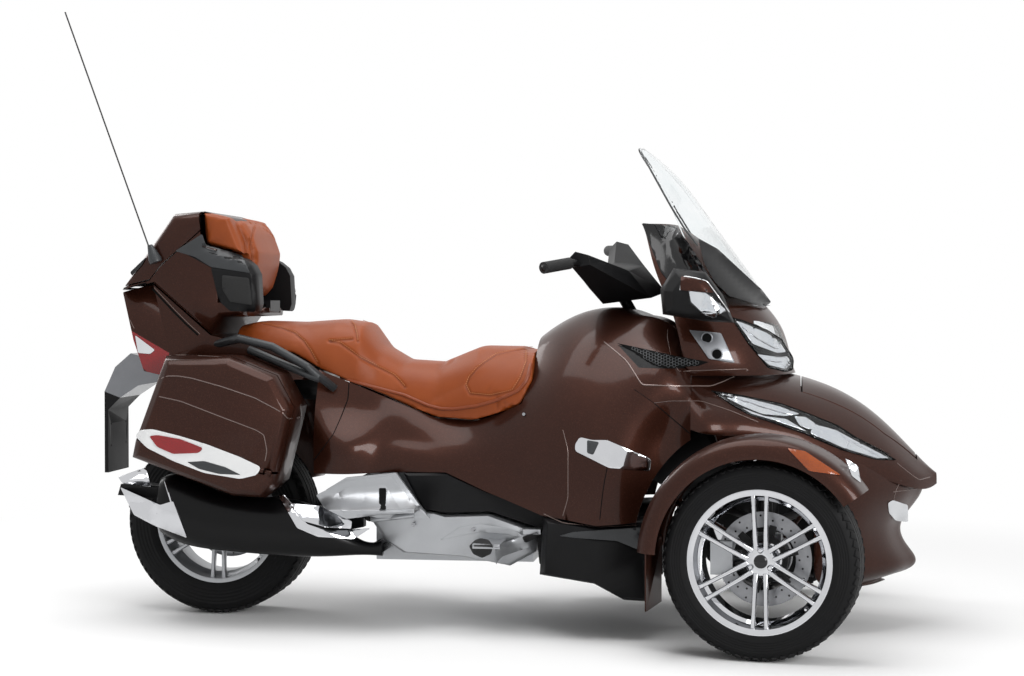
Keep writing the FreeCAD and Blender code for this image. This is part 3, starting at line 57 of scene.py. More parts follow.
Form = bmesh.types.BMesh
Object = bpy.types.Object
Material = bpy.types.Material
Node = bpy.types.Node
Socket = bpy.types.NodeSocket
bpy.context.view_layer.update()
MM = 1000
WELD = 0.00002
MIRRORED = Matrix.Diagonal((1, -1, 1, 1))
BODY_OF = {node: body for body, nodes in frame["record"]["behaviour"]["bodies"].items() for node in nodes}


@dataclass(frozen=True)
class Shot:
    """Camera and lens in metres, degrees and millimetres, and how far before it outlines are drawn."""

    place: tuple[float, float, float] = (0.887, -6.214, 1.011)
    yaw: float = 7.89
    pitch: float = 1.05
    lens: float = 68.47
    focus: float = 1947.6
    sheet: float = 4.9
    middle: tuple[float, float] = (512.0, 338.0)

    @property
    def look(self) -> Vector:
        """Direction of view."""
        yaw, pitch = math.radians(self.yaw), math.radians(self.pitch)
        return Vector((-math.sin(yaw) * math.cos(pitch), math.cos(yaw) * math.cos(pitch), -math.sin(pitch)))

    def sight(self, across: float, down: float) -> Vector:
        """Line of sight through a place in the picture.

        Args:
            across: Distance from the picture's left edge.
            down: Distance from its top edge.

        Returns:
            The unit direction.
        """
        turn = self.look.to_track_quat("-Z", "Y")
        flat = Vector((across - self.middle[0], self.middle[1] - down, -self.focus))
        return (turn @ flat).normalized()


SHOT = Shot()
CLEAR_OF_ALL = 2.5


class View(Enum):
    """Direction from which a flat outline is laid on a skin."""

    EYE = "the camera, in picture units"
    REAR = "rear"

    def into(self, point: Vector) -> Vector:
        """Give the direction in which a point of the outline is pushed."""
        if self is View.EYE:
            return (point - Vector(SHOT.place)).normalized()
        return Vector((1, 0, 0))

    def place(self, across: float, up: float) -> Vector:
        """Point of a flat outline, outside the vehicle.

        Args:
            across: Picture's x; from the rear y in millimetres.
            up: Picture's y; from the rear z in millimetres.

        Returns:
            The point in metres.
        """
        if self is View.EYE:
            sight = SHOT.sight(across, up)
            return Vector(SHOT.place) + sight * (SHOT.sheet / sight.y)
        return Vector((-CLEAR_OF_ALL, across / MM, up / MM))


def drawn(path: str) -> list[tuple[float, float]]:
    """Read a drawn path, written as x,y pairs with spaces between them."""
    return [tuple(float(number) for number in pair.split(",")) for pair in path.split()]


# Finishes

def linear(code: str) -> tuple[float, float, float, float]:
    """Turn a colour code into linear light.

    Args:
        code: Red, green and blue as six hexadecimal digits in sRGB.

    Returns:
        The colour with full opacity.
    """
    channels = [int(code[start:start + 2], 16) / 255 for start in (0, 2, 4)]
    red, green, blue = (c / 12.92 if c <= 0.04045 else ((c + 0.055) / 1.055) ** 2.4 for c in channels)
    return red, green, blue, 1.0


def add_node(material: Material, kind: str, **inputs) -> Node:
    """Add a shader node.

    Args:
        material: Material or world whose tree takes the node.
        kind: Type of the node; words in small letters set its own options, the others its inputs.
        inputs: Values or source sockets, with _ for a space in the names of inputs.

    Returns:
        The new node.
    """
    tree = material.node_tree
    node = tree.nodes.new(kind)
    for key, value in inputs.items():
        if key.islower():
            setattr(node, key, value)
            continue
        socket = node.inputs[int(key[1:]) if key[1:].isdigit() else key.replace("_", " ")]
        if isinstance(value, Socket):
            tree.links.new(value, socket)
        else:
            socket.default_value = value
    return node


@dataclass(frozen=True)
class Finish:
    """Surface of one stuff: colours, gloss and its unevenness, and the size of its grain in millimetres."""

    name: str
    slot: str
    colour: str
    second: str
    roughness: float = 0.5
    metallic: float = 0.0
    coat: float = 0.0
    grain_mm: float = 1.0
    depth_mm: float = 0.0
    mottle_mm: float = 60.0
    cells: bool = False
    specular: float = 0.5
    coat_rough: float = 0.03
    smear: tuple[float, float] = (0.8, 1.2)
    bump: float = 0.7

    def grain(self, material: Material, place: Socket) -> Socket:
        """Give the height of the surface's grain from the object's coordinates in metres."""
        kind = "ShaderNodeTexVoronoi" if self.cells else "ShaderNodeTexNoise"
        return add_node(material, kind, Vector=place, Scale=MM / self.grain_mm).outputs[0]

    def colours(self, material: Material, place: Socket) -> Socket:
        """Give a colour that varies slowly over the surface."""
        mottle = add_node(material, "ShaderNodeTexNoise", Vector=place, Scale=MM / self.mottle_mm, Detail=4.0)
        return add_node(material, "ShaderNodeMix", data_type="RGBA", I0=mottle.outputs["Fac"],
                        I6=linear(self.colour), I7=linear(self.second)).outputs[2]

    def build(self) -> Material:
        """Make the material.

        Returns:
            A material with varied colour, uneven gloss and a fine bump.
        """
        material = bpy.data.materials.new(self.name)
        material.use_nodes = True
        tree = material.node_tree
        shader = tree.nodes["Principled BSDF"]
        place = add_node(material, "ShaderNodeTexCoord").outputs["Object"]
        tree.links.new(self.colours(material, place), shader.inputs["Base Color"])
        smear = add_node(material, "ShaderNodeTexNoise", Vector=place, Scale=MM / self.mottle_mm / 2, Detail=3.0)
        smooth, rough = (self.roughness * share for share in self.smear)
        gloss = add_node(material, "ShaderNodeMapRange", Value=smear.outputs["Fac"], To_Min=smooth, To_Max=rough)
        tree.links.new(gloss.outputs["Result"], shader.inputs["Roughness"])
        shader.inputs["Metallic"].default_value = self.metallic
        shader.inputs["Coat Weight"].default_value = self.coat
        shader.inputs["Coat Roughness"].default_value = self.coat_rough
        shader.inputs["Specular IOR Level"].default_value = self.specular
        if self.depth_mm:
            bump = add_node(material, "ShaderNodeBump", Height=self.grain(material, place), Strength=self.bump,
                            Distance=self.depth_mm / MM)
            tree.links.new(bump.outputs["Normal"], shader.inputs["Normal"])
        self.extra(material, shader, place)
        return material

    def extra(self, material: Material, shader: Node, place: Socket) -> None:
        """Nothing more on a plain surface."""


@dataclass(frozen=True)
class Paint(Finish):
    """Metallic paint below clear lacquer, with flakes of mica and a trace of orange peel."""

    flake_mm: float = 1.3
    flake: str = "6B4335"
    rarity: float = 0.72
    flake_share: float = 0.34

    def colours(self, material: Material, place: Socket) -> Socket:
        """Paint with single brighter flakes; they are drawn larger than real so that they show."""
        ground = super().colours(material, place)
        flakes = add_node(material, "ShaderNodeTexVoronoi", Vector=place, Scale=MM / self.flake_mm)
        bright = add_node(material, "ShaderNodeMapRange", Value=flakes.outputs["Color"], From_Min=self.rarity,
                          From_Max=1.0, To_Max=self.flake_share)
        return add_node(material, "ShaderNodeMix", data_type="RGBA", I0=bright.outputs["Result"], I6=ground,
                        I7=linear(self.flake)).outputs[2]


@dataclass(frozen=True)
class Leather(Finish):
    """Stretched leather: pebbled grain, soft folds, and painted shade that darkens its hollows."""

    fold_mm: float = 38.0
    fold_share: float = 1.6
    hollow: tuple[float, float] = (0.44, 0.51)
    painted_shade: str = "5E2A12"
    painted_shade_share: float = 0.75

    def grain(self, material: Material, place: Socket) -> Socket:
        """Pebbles between fine creases, over long shallow folds."""
        pebble = add_node(material, "ShaderNodeTexVoronoi", Vector=place, Scale=MM / self.grain_mm,
                          feature="SMOOTH_F1", Smoothness=0.6)
        fold = add_node(material, "ShaderNodeTexNoise", Vector=place, Scale=MM / self.fold_mm, Detail=2.0)
        return add_node(material, "ShaderNodeMath", operation="MULTIPLY_ADD", I0=fold.outputs[0], I1=self.fold_share,
                        I2=pebble.outputs[0]).outputs[0]

    def colours(self, material: Material, place: Socket) -> Socket:
        """Tan with painted shade where the hide folds inwards."""
        ground = super().colours(material, place)
        curve = add_node(material, "ShaderNodeNewGeometry").outputs["Pointiness"]
        # Painted shade: a darker tan mixed in where the hide is concave.
        painted_shade = add_node(material, "ShaderNodeMapRange", Value=curve, From_Min=self.hollow[0],
                         From_Max=self.hollow[1], To_Min=self.painted_shade_share, To_Max=0.0)
        return add_node(material, "ShaderNodeMix", data_type="RGBA", I0=painted_shade.outputs["Result"], I6=ground,
                        I7=linear(self.painted_shade)).outputs[2]


@dataclass(frozen=True)
class Clear(Finish):
    """Clear or tinted plastic that light passes."""

    clear: float = 1.0
    ior: float = 1.2

    def extra(self, material: Material, shader: Node, place: Socket) -> None:
        """Let light through."""
        shader.inputs["Transmission Weight"].default_value = self.clear
        shader.inputs["IOR"].default_value = self.ior


@dataclass(frozen=True)
class Brushed(Finish):
    """Metal ground in circles about the wheel's axle or along one line, which draws streaks of light."""

    stretch: tuple[float, float, float] = (1.0, 30.0, 1.0)

    def grain(self, material: Material, place: Socket) -> Socket:
        """Scratches that run across the stretched axis."""
        lined = add_node(material, "ShaderNodeMapping", Vector=place, Scale=self.stretch)
        return add_node(material, "ShaderNodeTexNoise", Vector=lined.outputs[0], Scale=MM / self.grain_mm).outputs[0]


# Moulded panels in metallic lacquer: deep brown with a warm sparkle under a soft shine.
PAINT = Paint("metallic_lacquer", "brown_paint", "28120B", "381C12", 0.4, 0.6, 0.28, 5.0, 0.02, 300.0,
              specular=0.1, coat_rough=0.1)
# Top-grain hide, dyed and stretched over foam: satin, pebbled, with painted shade in its hollows that leaves the
# bulges lighter.
LEATHER = Leather("dyed_hide", "tan_leather", "7C3711", "8E4418", 0.46, 0.0, 0.0, 1.6, 0.35, 90.0, specular=0.28)
# Folded hide over cord: the same hide, tighter and a little darker.
PIPING = Leather("corded_hide", "tan_leather", "6E2E0F", "7E3A17", 0.45, 0.0, 0.0, 1.2, 0.2, 30.0, specular=0.4)
# Bonded polyester thread: pale tan, with a slight sheen.
THREAD = Finish("polyester_thread", "tan_leather", "A5683A", "B57748", 0.55, grain_mm=0.6, depth_mm=0.1)
# ABS moulded in a spark-eroded tool: black with a fine dull grain.
PLASTIC = Finish("grained_abs", "dark_plastic", "08080A", "0E0E0F", 0.48, grain_mm=1.4, depth_mm=0.12,
                 cells=True, specular=0.18)
# ABS from a polished tool: black, wet and smooth.
GLOSS = Finish("polished_abs", "dark_plastic", "050506", "08080A", 0.12, coat=0.3, grain_mm=20.0,
               depth_mm=0.01, specular=0.3)
# Glass-filled nylon, satin: grey that shows its form by soft light.
GREY = Finish("satin_nylon", "dark_plastic", "2A2C2E", "343638", 0.4, grain_mm=1.2, depth_mm=0.06,
              cells=True, specular=0.4)
# Light alloy-coloured paint on moulded plastic, as on trim round the lamps.
PEWTER = Finish("silver_lacquer", "dark_plastic", "74767A", "84868A", 0.3, 0.6, 0.2, 2.0, 0.02)
# Powder-coated steel: black, satin, slightly pebbled.
CHASSIS = Finish("powder_coated_steel", "frame_black", "0A0A0B", "111112", 0.42, 0.1, 0.05, 1.5, 0.08, specular=0.25)
# Stoved gloss enamel on the silencer: black, with one broad soft light.
ENAMEL = Finish("stove_enamel", "frame_black", "040405", "070708", 0.3, 0.0, 0.06, 30.0, 0.03, specular=0.15)
# Nickel and chromium plate over polished alloy: mirror bright, with faint waves.
CHROME = Finish("chromium_plate", "bright_chrome", "BEBFC2", "CFD0D3", 0.05, 1.0, grain_mm=25.0, depth_mm=0.03)
# Aluminium vapour on moulded plastic in the lamps: bright, a little rippled.
BOWL = Finish("vapour_aluminium", "lamp_glass", "C8CACD", "D8DADC", 0.1, 1.0, grain_mm=12.0, depth_mm=0.03)
# Die-cast alloy, shot-blasted and lacquered: pale grey, satin, faintly grained.
SILVER = Finish("blasted_alloy", "cast_alloy", "9EA0A3", "ADAFB2", 0.36, 0.7, 0.1, 1.3, 0.06)
# Ground stainless brake disc: fine rings from the grinding wheel and the pads.
STEEL = Brushed("ground_stainless", "cast_alloy", "77787B", "939497", 0.3, 1.0, grain_mm=6.0, depth_mm=0.05,
                mottle_mm=25.0, stretch=(1.0, 1.0, 8.0))
# Plated screws and nuts: grey glints as small as their heads.
ZINC = Finish("zinc_plate", "cast_alloy", "8A8B8E", "A0A1A4", 0.25, 1.0, grain_mm=2.0, depth_mm=0.03)
# Carbon-filled rubber, moulded: matt black, finely scuffed on the tread.
TYRE = Finish("tread_rubber", "tyre_rubber", "080809", "101011", 0.6, grain_mm=1.8, depth_mm=0.12, mottle_mm=22.0,
              specular=0.15)
# Soft moulded rubber of grips, seals and pedals: dull, without any glint.
GRIP = Finish("moulded_rubber", "grip_rubber", "090909", "0F0F10", 0.75, grain_mm=1.6, depth_mm=0.2, cells=True)
# Hard-coated polycarbonate sheet: clear, seen by its rim and its reflections.
SCREEN = Clear("hard_coated_sheet", "clear_screen", "F2F6F7", "FFFFFF", 0.02, ior=1.15)
# Moulded polycarbonate lamp cover: clear over the bowls, with a wet shine.
LENS = Clear("lamp_cover", "lamp_glass", "F4F7FA", "FFFFFF", 0.02, coat=0.3, ior=1.12)
# Acrylic dyed red, pressed with prisms that break the light up.
RED = Clear("red_acrylic", "red_lens", "7E060C", "A30C14", 0.12, coat=0.6, grain_mm=4.0, depth_mm=0.5, cells=True,
            clear=0.25, ior=1.35)
# Acrylic dyed amber, pressed with the same prisms.
AMBER = Clear("amber_acrylic", "lamp_glass", "7E3205", "A24A0A", 0.12, coat=0.6, grain_mm=4.0, depth_mm=0.5,
              cells=True, clear=0.2, ior=1.35)


class Shelf:
    """Makes each finish's material once."""

    made: dict[str, Material] = {}

    @classmethod
    def take(cls, finish: Finish) -> Material:
        """Give a finish's material.

        Args:
            finish: The finish wanted.

        Returns:
            Its material, made on first use.
        """
        if finish.name not in cls.made:
            cls.made[finish.name] = finish.build()
        return cls.made[finish.name]


# Making pieces

def linked(name: str, data: bpy.types.ID) -> Object:
    """Make an object of some data and link it to the scene.

    Args:
        name: Name of the object.
        data: Its mesh, light or camera.

    Returns:
        The object.
    """
    made = bpy.data.objects.new(name, data)
    bpy.context.scene.collection.objects.link(made)
    return made


def piece(name: str, form: Form, finish: Finish, body: str = "chassis", replaces: Iterable[str] = (),
          sharp_deg: float = 35.0) -> Object:
    """Make a finished object from a form.

    Args:
        name: Name of the object.
        form: Its shape in the frame's own metres; it is freed.
        finish: Finish of the whole piece.
        body: Body that it rides on.
        replaces: CAD nodes that it stands for.
        sharp_deg: Angle from which edges stay sharp.

    Returns:
        The object, linked to the scene.
    """
    mesh = bpy.data.meshes.new(name)
    bmesh.ops.recalc_face_normals(form, faces=form.faces[:])
    form.to_mesh(mesh)
    form.free()
    mesh.polygons.foreach_set("use_smooth", [True] * len(mesh.polygons))
    mesh.set_sharp_from_angle(angle=math.radians(sharp_deg))
    made = linked(name, mesh)
    mesh.materials.append(Shelf.take(finish))
    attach(made, body)
    for node in replaces:
        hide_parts(node)
    LOG.info("%s: %d faces on %s", name, len(mesh.polygons), body)
    return made


def cad_form(node: str) -> Form:
    """Copy a CAD node and join its loose triangles.

    Args:
        node: Name of the node.

    Returns:
        The joined copy.
    """
    form = bmesh.new()
    form.from_mesh(frame["nodes"][node].data)
    bmesh.ops.remove_doubles(form, verts=form.verts[:], dist=WELD)
    return form


def dressed(node: str, finish: Finish, sharp_deg: float = 30.0) -> Object:
    """Show a CAD node as a smooth piece that stands for it."""
    return piece(node + "_look", cad_form(node), finish, BODY_OF[node], [node], sharp_deg)


def second_finish(made: Object, finish: Finish, low: Point, high: Point) -> None:
    """Give part of a piece another finish.

    Args:
        made: The piece.
        finish: Finish of the part.
        low: Lowest corner of the box round the part's faces.
        high: Its highest corner.
    """
    made.data.materials.append(Shelf.take(finish))
    for face in made.data.polygons:
        if all(a <= c <= b for a, c, b in zip(low, face.center, high)):
            face.material_index = len(made.data.materials) - 1


def everything(form: Form) -> list:
    """List all of a form's corners, edges and faces."""
    return form.verts[:] + form.edges[:] + form.faces[:]


def merged(forms: Iterable[Form]) -> Form:
    """Join several forms into one.

    Args:
        forms: Forms to join; they are freed.

    Returns:
        The joined form.
    """
    joined = bmesh.new()
    for form in forms:
        mesh = bpy.data.meshes.new("part")
        form.to_mesh(mesh)
        form.free()
        joined.from_mesh(mesh)
        bpy.data.meshes.remove(mesh)
    return joined


def paired(form: Form) -> Form:
    """Add the mirror image of a right-hand form on the vehicle's other side."""
    bmesh.ops.mirror(form, geom=everything(form), matrix=Matrix(), merge_dist=0.0, axis="Y")
    return form


def put(form: Form, matrix: Matrix) -> Form:
    """Move a form to its place and give it back."""
    bmesh.ops.transform(form, matrix=matrix, verts=form.verts[:])
    return form


def rounded(form: Form, width: float, segments: int = 2, from_deg: float = 30.0) -> Form:
    """Round the sharp edges of a form.

    Args:
        form: Form to change.
        width: Width of the rounding.
        segments: Faces across it.
        from_deg: Angle from which an edge is rounded.

    Returns:
        The same form.
    """
    bmesh.ops.recalc_face_normals(form, faces=form.faces[:])
    edges = [e for e in form.edges if len(e.link_faces) == 2 and e.calc_face_angle(0.0) > math.radians(from_deg)]
    if edges and width:
        bmesh.ops.bevel(form, geom=edges, offset=width, segments=segments, profile=0.5, affect="EDGES", material=-1)
    return form


def outline_form(corners: Sequence[Vector], corner: float = 0.0) -> Form:
    """Make one face from its corners.

    Args:
        corners: Corners in order.
        corner: Width by which each corner is rounded.

    Returns:
        The form.
    """
    form = bmesh.new()
    form.faces.new([form.verts.new(point) for point in corners])
    if corner:
        bmesh.ops.bevel(form, geom=form.verts[:], offset=corner, segments=3, profile=0.5, affect="VERTICES",
                        material=-1)
    return form


def thickened(form: Form, path: Vector, edge: float = 0.0) -> Form:
    """Push an open sheet along a path into a closed plate.

    Args:
        form: Sheet to thicken.
        path: How far and where its second face lies.
        edge: Width of its rounded edges.

    Returns:
        The same form.
    """
    moved = bmesh.ops.extrude_face_region(form, geom=form.faces[:])
    verts = [v for v in moved["geom"] if isinstance(v, bmesh.types.BMVert)]
    bmesh.ops.translate(form, verts=verts, vec=path)
    return rounded(form, edge, 2, 60.0)


def spun(profile: Sequence[Point], steps: int) -> Form:
    """Turn a closed profile about the Y axis.

    Args:
        profile: Points as y and radius.
        steps: Faces round the turn.

    Returns:
        The form, about the frame's origin.
    """
    form = bmesh.new()
    verts = [form.verts.new((0, y, r)) for y, r in profile]
    edges = [form.edges.new((verts[i], verts[(i + 1) % len(verts)])) for i in range(len(verts))]
    bmesh.ops.spin(form, geom=verts + edges, cent=(0, 0, 0), axis=(0, 1, 0), angle=math.tau, steps=steps,
                   use_merge=True)
    bmesh.ops.remove_doubles(form, verts=form.verts[:], dist=WELD)
    return form


def lofted(loops: Sequence[Sequence[Point]]) -> Form:
    """Bridge a row of closed loops and cap its ends.

    Args:
        loops: Points of each loop, the same number in each.

    Returns:
        The form.
    """
    form = bmesh.new()
    rings = []
    for loop in loops:
        verts = [form.verts.new(point) for point in loop]
        rings.append([form.edges.new((verts[i], verts[(i + 1) % len(verts)])) for i in range(len(verts))])
    for low, high in zip(rings, rings[1:]):
        bmesh.ops.bridge_loops(form, edges=low + high)
    bmesh.ops.holes_fill(form, edges=rings[0] + rings[-1], sides=0)
    return form


def tube(points: Sequence[Point], radius: float, closed: bool = False) -> Form:
    """Sweep a round bar along a smooth route.

    Args:
        points: Control points of the route in metres.
        radius: Radius of the bar.
        closed: Whether the route ends where it starts.

    Returns:
        The form.
    """
    line = bpy.data.curves.new("route", "CURVE")
    line.dimensions = "3D"
    line.bevel_depth = radius
    line.bevel_resolution = 2
    line.use_fill_caps = True
    line.resolution_u = 3
    spline = line.splines.new("NURBS")
    spline.points.add(len(points) - 1)
    for knot, place in zip(spline.points, points):
        knot.co = (*place, 1.0)
    spline.order_u = 3
    spline.use_endpoint_u = not closed
    spline.use_cyclic_u = closed
    holder = bpy.data.objects.new("route", line)
    mesh = bpy.data.meshes.new_from_object(holder)
    form = bmesh.new()
    form.from_mesh(mesh)
    bpy.data.objects.remove(holder)
    bpy.data.curves.remove(line)
    bpy.data.meshes.remove(mesh)
    bmesh.ops.remove_doubles(form, verts=form.verts[:], dist=WELD / 2)
    return form


def rounded_box(centre: Point, size: Point, width: float) -> Form:
    """Make a block with rounded edges.

    Args:
        centre: Its middle.
        size: Its extent along X, Y and Z.
        width: Width of the rounding.

    Returns:
        The form.
    """
    form = bmesh.new()
    bmesh.ops.create_cube(form, size=1.0, matrix=Matrix.Translation(centre) @ Matrix.Diagonal((*size, 1.0)))
    return rounded(form, width, 3)


def disc_form(centre: Point, radius: float, depth: float, segments: int, edge: float = 0.0) -> Form:
    """Make a round plate that faces sideways.

    Args:
        centre: Its middle.
        radius: Its radius.
        depth: Its thickness.
        segments: Faces round it.
        edge: Width of its rounded rims.

    Returns:
        The form.
    """
    turn = Vector((0, 0, 1)).rotation_difference(Vector((0, 1, 0))).to_matrix().to_4x4()
    form = bmesh.new()
    bmesh.ops.create_cone(form, cap_ends=True, segments=segments, radius1=radius, radius2=radius, depth=depth,
                          matrix=Matrix.Translation(centre) @ turn)
    return rounded(form, edge)


class Skin:
    """Outer surface of some CAD nodes or of one finished form, on which trim is laid."""

    JUMP = 0.003
    PASSES = 6
    ALONG = 0.7

    def __init__(self, *nodes: str, form: Form | None = None) -> None:
        """Make the surface of the nodes, or the form given instead of them, ready to be met."""
        self.form = form or merged(cad_form(node) for node in nodes)
        self.tree = BVHTree.FromBMesh(self.form)

    def meet(self, point: Vector, into: Vector) -> Vector | None:
        """Follow a direction from a point until the surface is met, if it is."""
        return self.tree.ray_cast(point, into)[0]

    def lay(self, form: Form, view: View, lift: float) -> Form:
        """Push each corner of a flat form onto the surface, and bridge the gaps between panels.

        Args:
            form: Form outside the surface.
            view: Direction of the push.
            lift: Distance that is kept from the surface, outwards.

        Returns:
            The same form.
        """
        ways = {vert: view.into(vert.co) for vert in form.verts}
        met = {}
        for vert, way in ways.items():
            place = self.meet(vert.co, way)
            if place is not None:
                met[vert] = (place - vert.co).length
        if not met:
            LOG.warning("an outline misses its surface")
            return form
        finder = KDTree(len(met))
        depths = []
        for index, (vert, depth) in enumerate(met.items()):
            finder.insert(vert.co, index)
            depths.append(depth)
        finder.balance()
        reach = {vert: met[vert] if vert in met else depths[finder.find(vert.co)[1]] for vert in ways}
        for _ in range(self.PASSES):
            for vert in ways:
                around = [reach[edge.other_vert(vert)] for edge in vert.link_edges]
                middle = sum(around) / len(around)
                if reach[vert] > middle + self.JUMP:
                    reach[vert] = middle
        for vert, way in ways.items():
            vert.co = vert.co + way * (reach[vert] - lift)
        return form

    def line(self, points: Sequence[Point], view: View = View.EYE, lift: float = 0.0,
             step: float = 0.02) -> list[Vector]:
        """Lay a drawn line on the surface.

        Args:
            points: Its corners, as the view takes them.
            view: Direction from which it is drawn.
            lift: Distance from the surface.
            step: Longest run between two points.

        Returns:
            The line's points.
        """
        ends = [view.place(*point) for point in points]
        path = []
        for start, end in zip(ends, ends[1:]):
            count = max(1, math.ceil((end - start).length / step))
            path += [start.lerp(end, i / count) for i in range(count)]
        path.append(ends[-1])
        laid = []
        for start in path:
            way = view.into(start)
            place = self.meet(start, way)
            if place is not None:
                laid.append(place - way * lift)
        return laid

    def patch(self, outline: Sequence[Point], view: View = View.EYE, lift: float = 0.0, thick: float = 0.003,
              corner: float = 0.0, edge: float = 0.0008, step: float = 0.012) -> Form:
        """Make a plate that follows the surface.

        Args:
            outline: Corners, as the view takes them.
            view: Direction from which it is drawn.
            lift: Distance of its back from the surface.
            thick: Its thickness outwards.
            corner: Width by which its corners are rounded.
            edge: Width of its rounded edges.
            step: Size of its faces.

        Returns:
            The closed form.
        """
        form = outline_form([view.place(*point) for point in outline], corner)
        middle = sum((v.co for v in form.verts), Vector()) / len(form.verts)
        way = view.into(middle)
        for axis in range(3):
            values = [v.co[axis] for v in form.verts]
            count = int((max(values) - min(values)) / step)
            if abs(way[axis]) > self.ALONG or not count:
                continue
            normal = Vector([1.0 if axis == other else 0.0 for other in range(3)])
            for index in range(1, count + 1):
                cut = normal * (min(values) + (max(values) - min(values)) * index / (count + 1))
                bmesh.ops.bisect_plane(form, geom=everything(form), plane_co=cut, plane_no=normal)
        self.lay(form, view, lift)
        return thickened(form, way * -thick, edge) if thick else form


def stitches(path: Sequence[Vector], spacing: float = 0.0075, share: float = 0.62,
             thread: tuple[float, float] = (0.0016, 0.00128)) -> Form:
    """Sew a row of stitches along a line.

    Args:
        path: Points of the line.
        spacing: Distance between stitches.
        share: Length of a stitch as a share of the spacing.
        thread: Width and height of the thread.

    Returns:
        The form of all the stitches.
    """
    form = bmesh.new()
    left = 0.0
    for start, end in zip(path, path[1:]):
        run = (end - start).length
        along = (end - start).normalized()
        while left < run:
            turn = along.to_track_quat("X", "Z").to_matrix().to_4x4()
            bmesh.ops.create_cube(form, size=1.0, matrix=Matrix.Translation(start + along * left) @ turn
                                  @ Matrix.Diagonal((spacing * share, *thread, 1)))
            left += spacing
        left -= run
    return form


# Wheels

@dataclass(frozen=True)
class WheelSizes:
    """Sizes of one wheel in metres, with the names of its body and nodes."""

    body: str
    nodes: tuple[str, str]
    centre: tuple[float, float, float]
    turn_deg: float
    side: int
    radius: float
    width: float
    rim_width: float
    flange: float = 0.2075
    hub: float = 0.058
    spokes: int = 6
    finish: Finish = CHROME
    disc_y: float = 0.0147
    disc_radius: float = 0.135


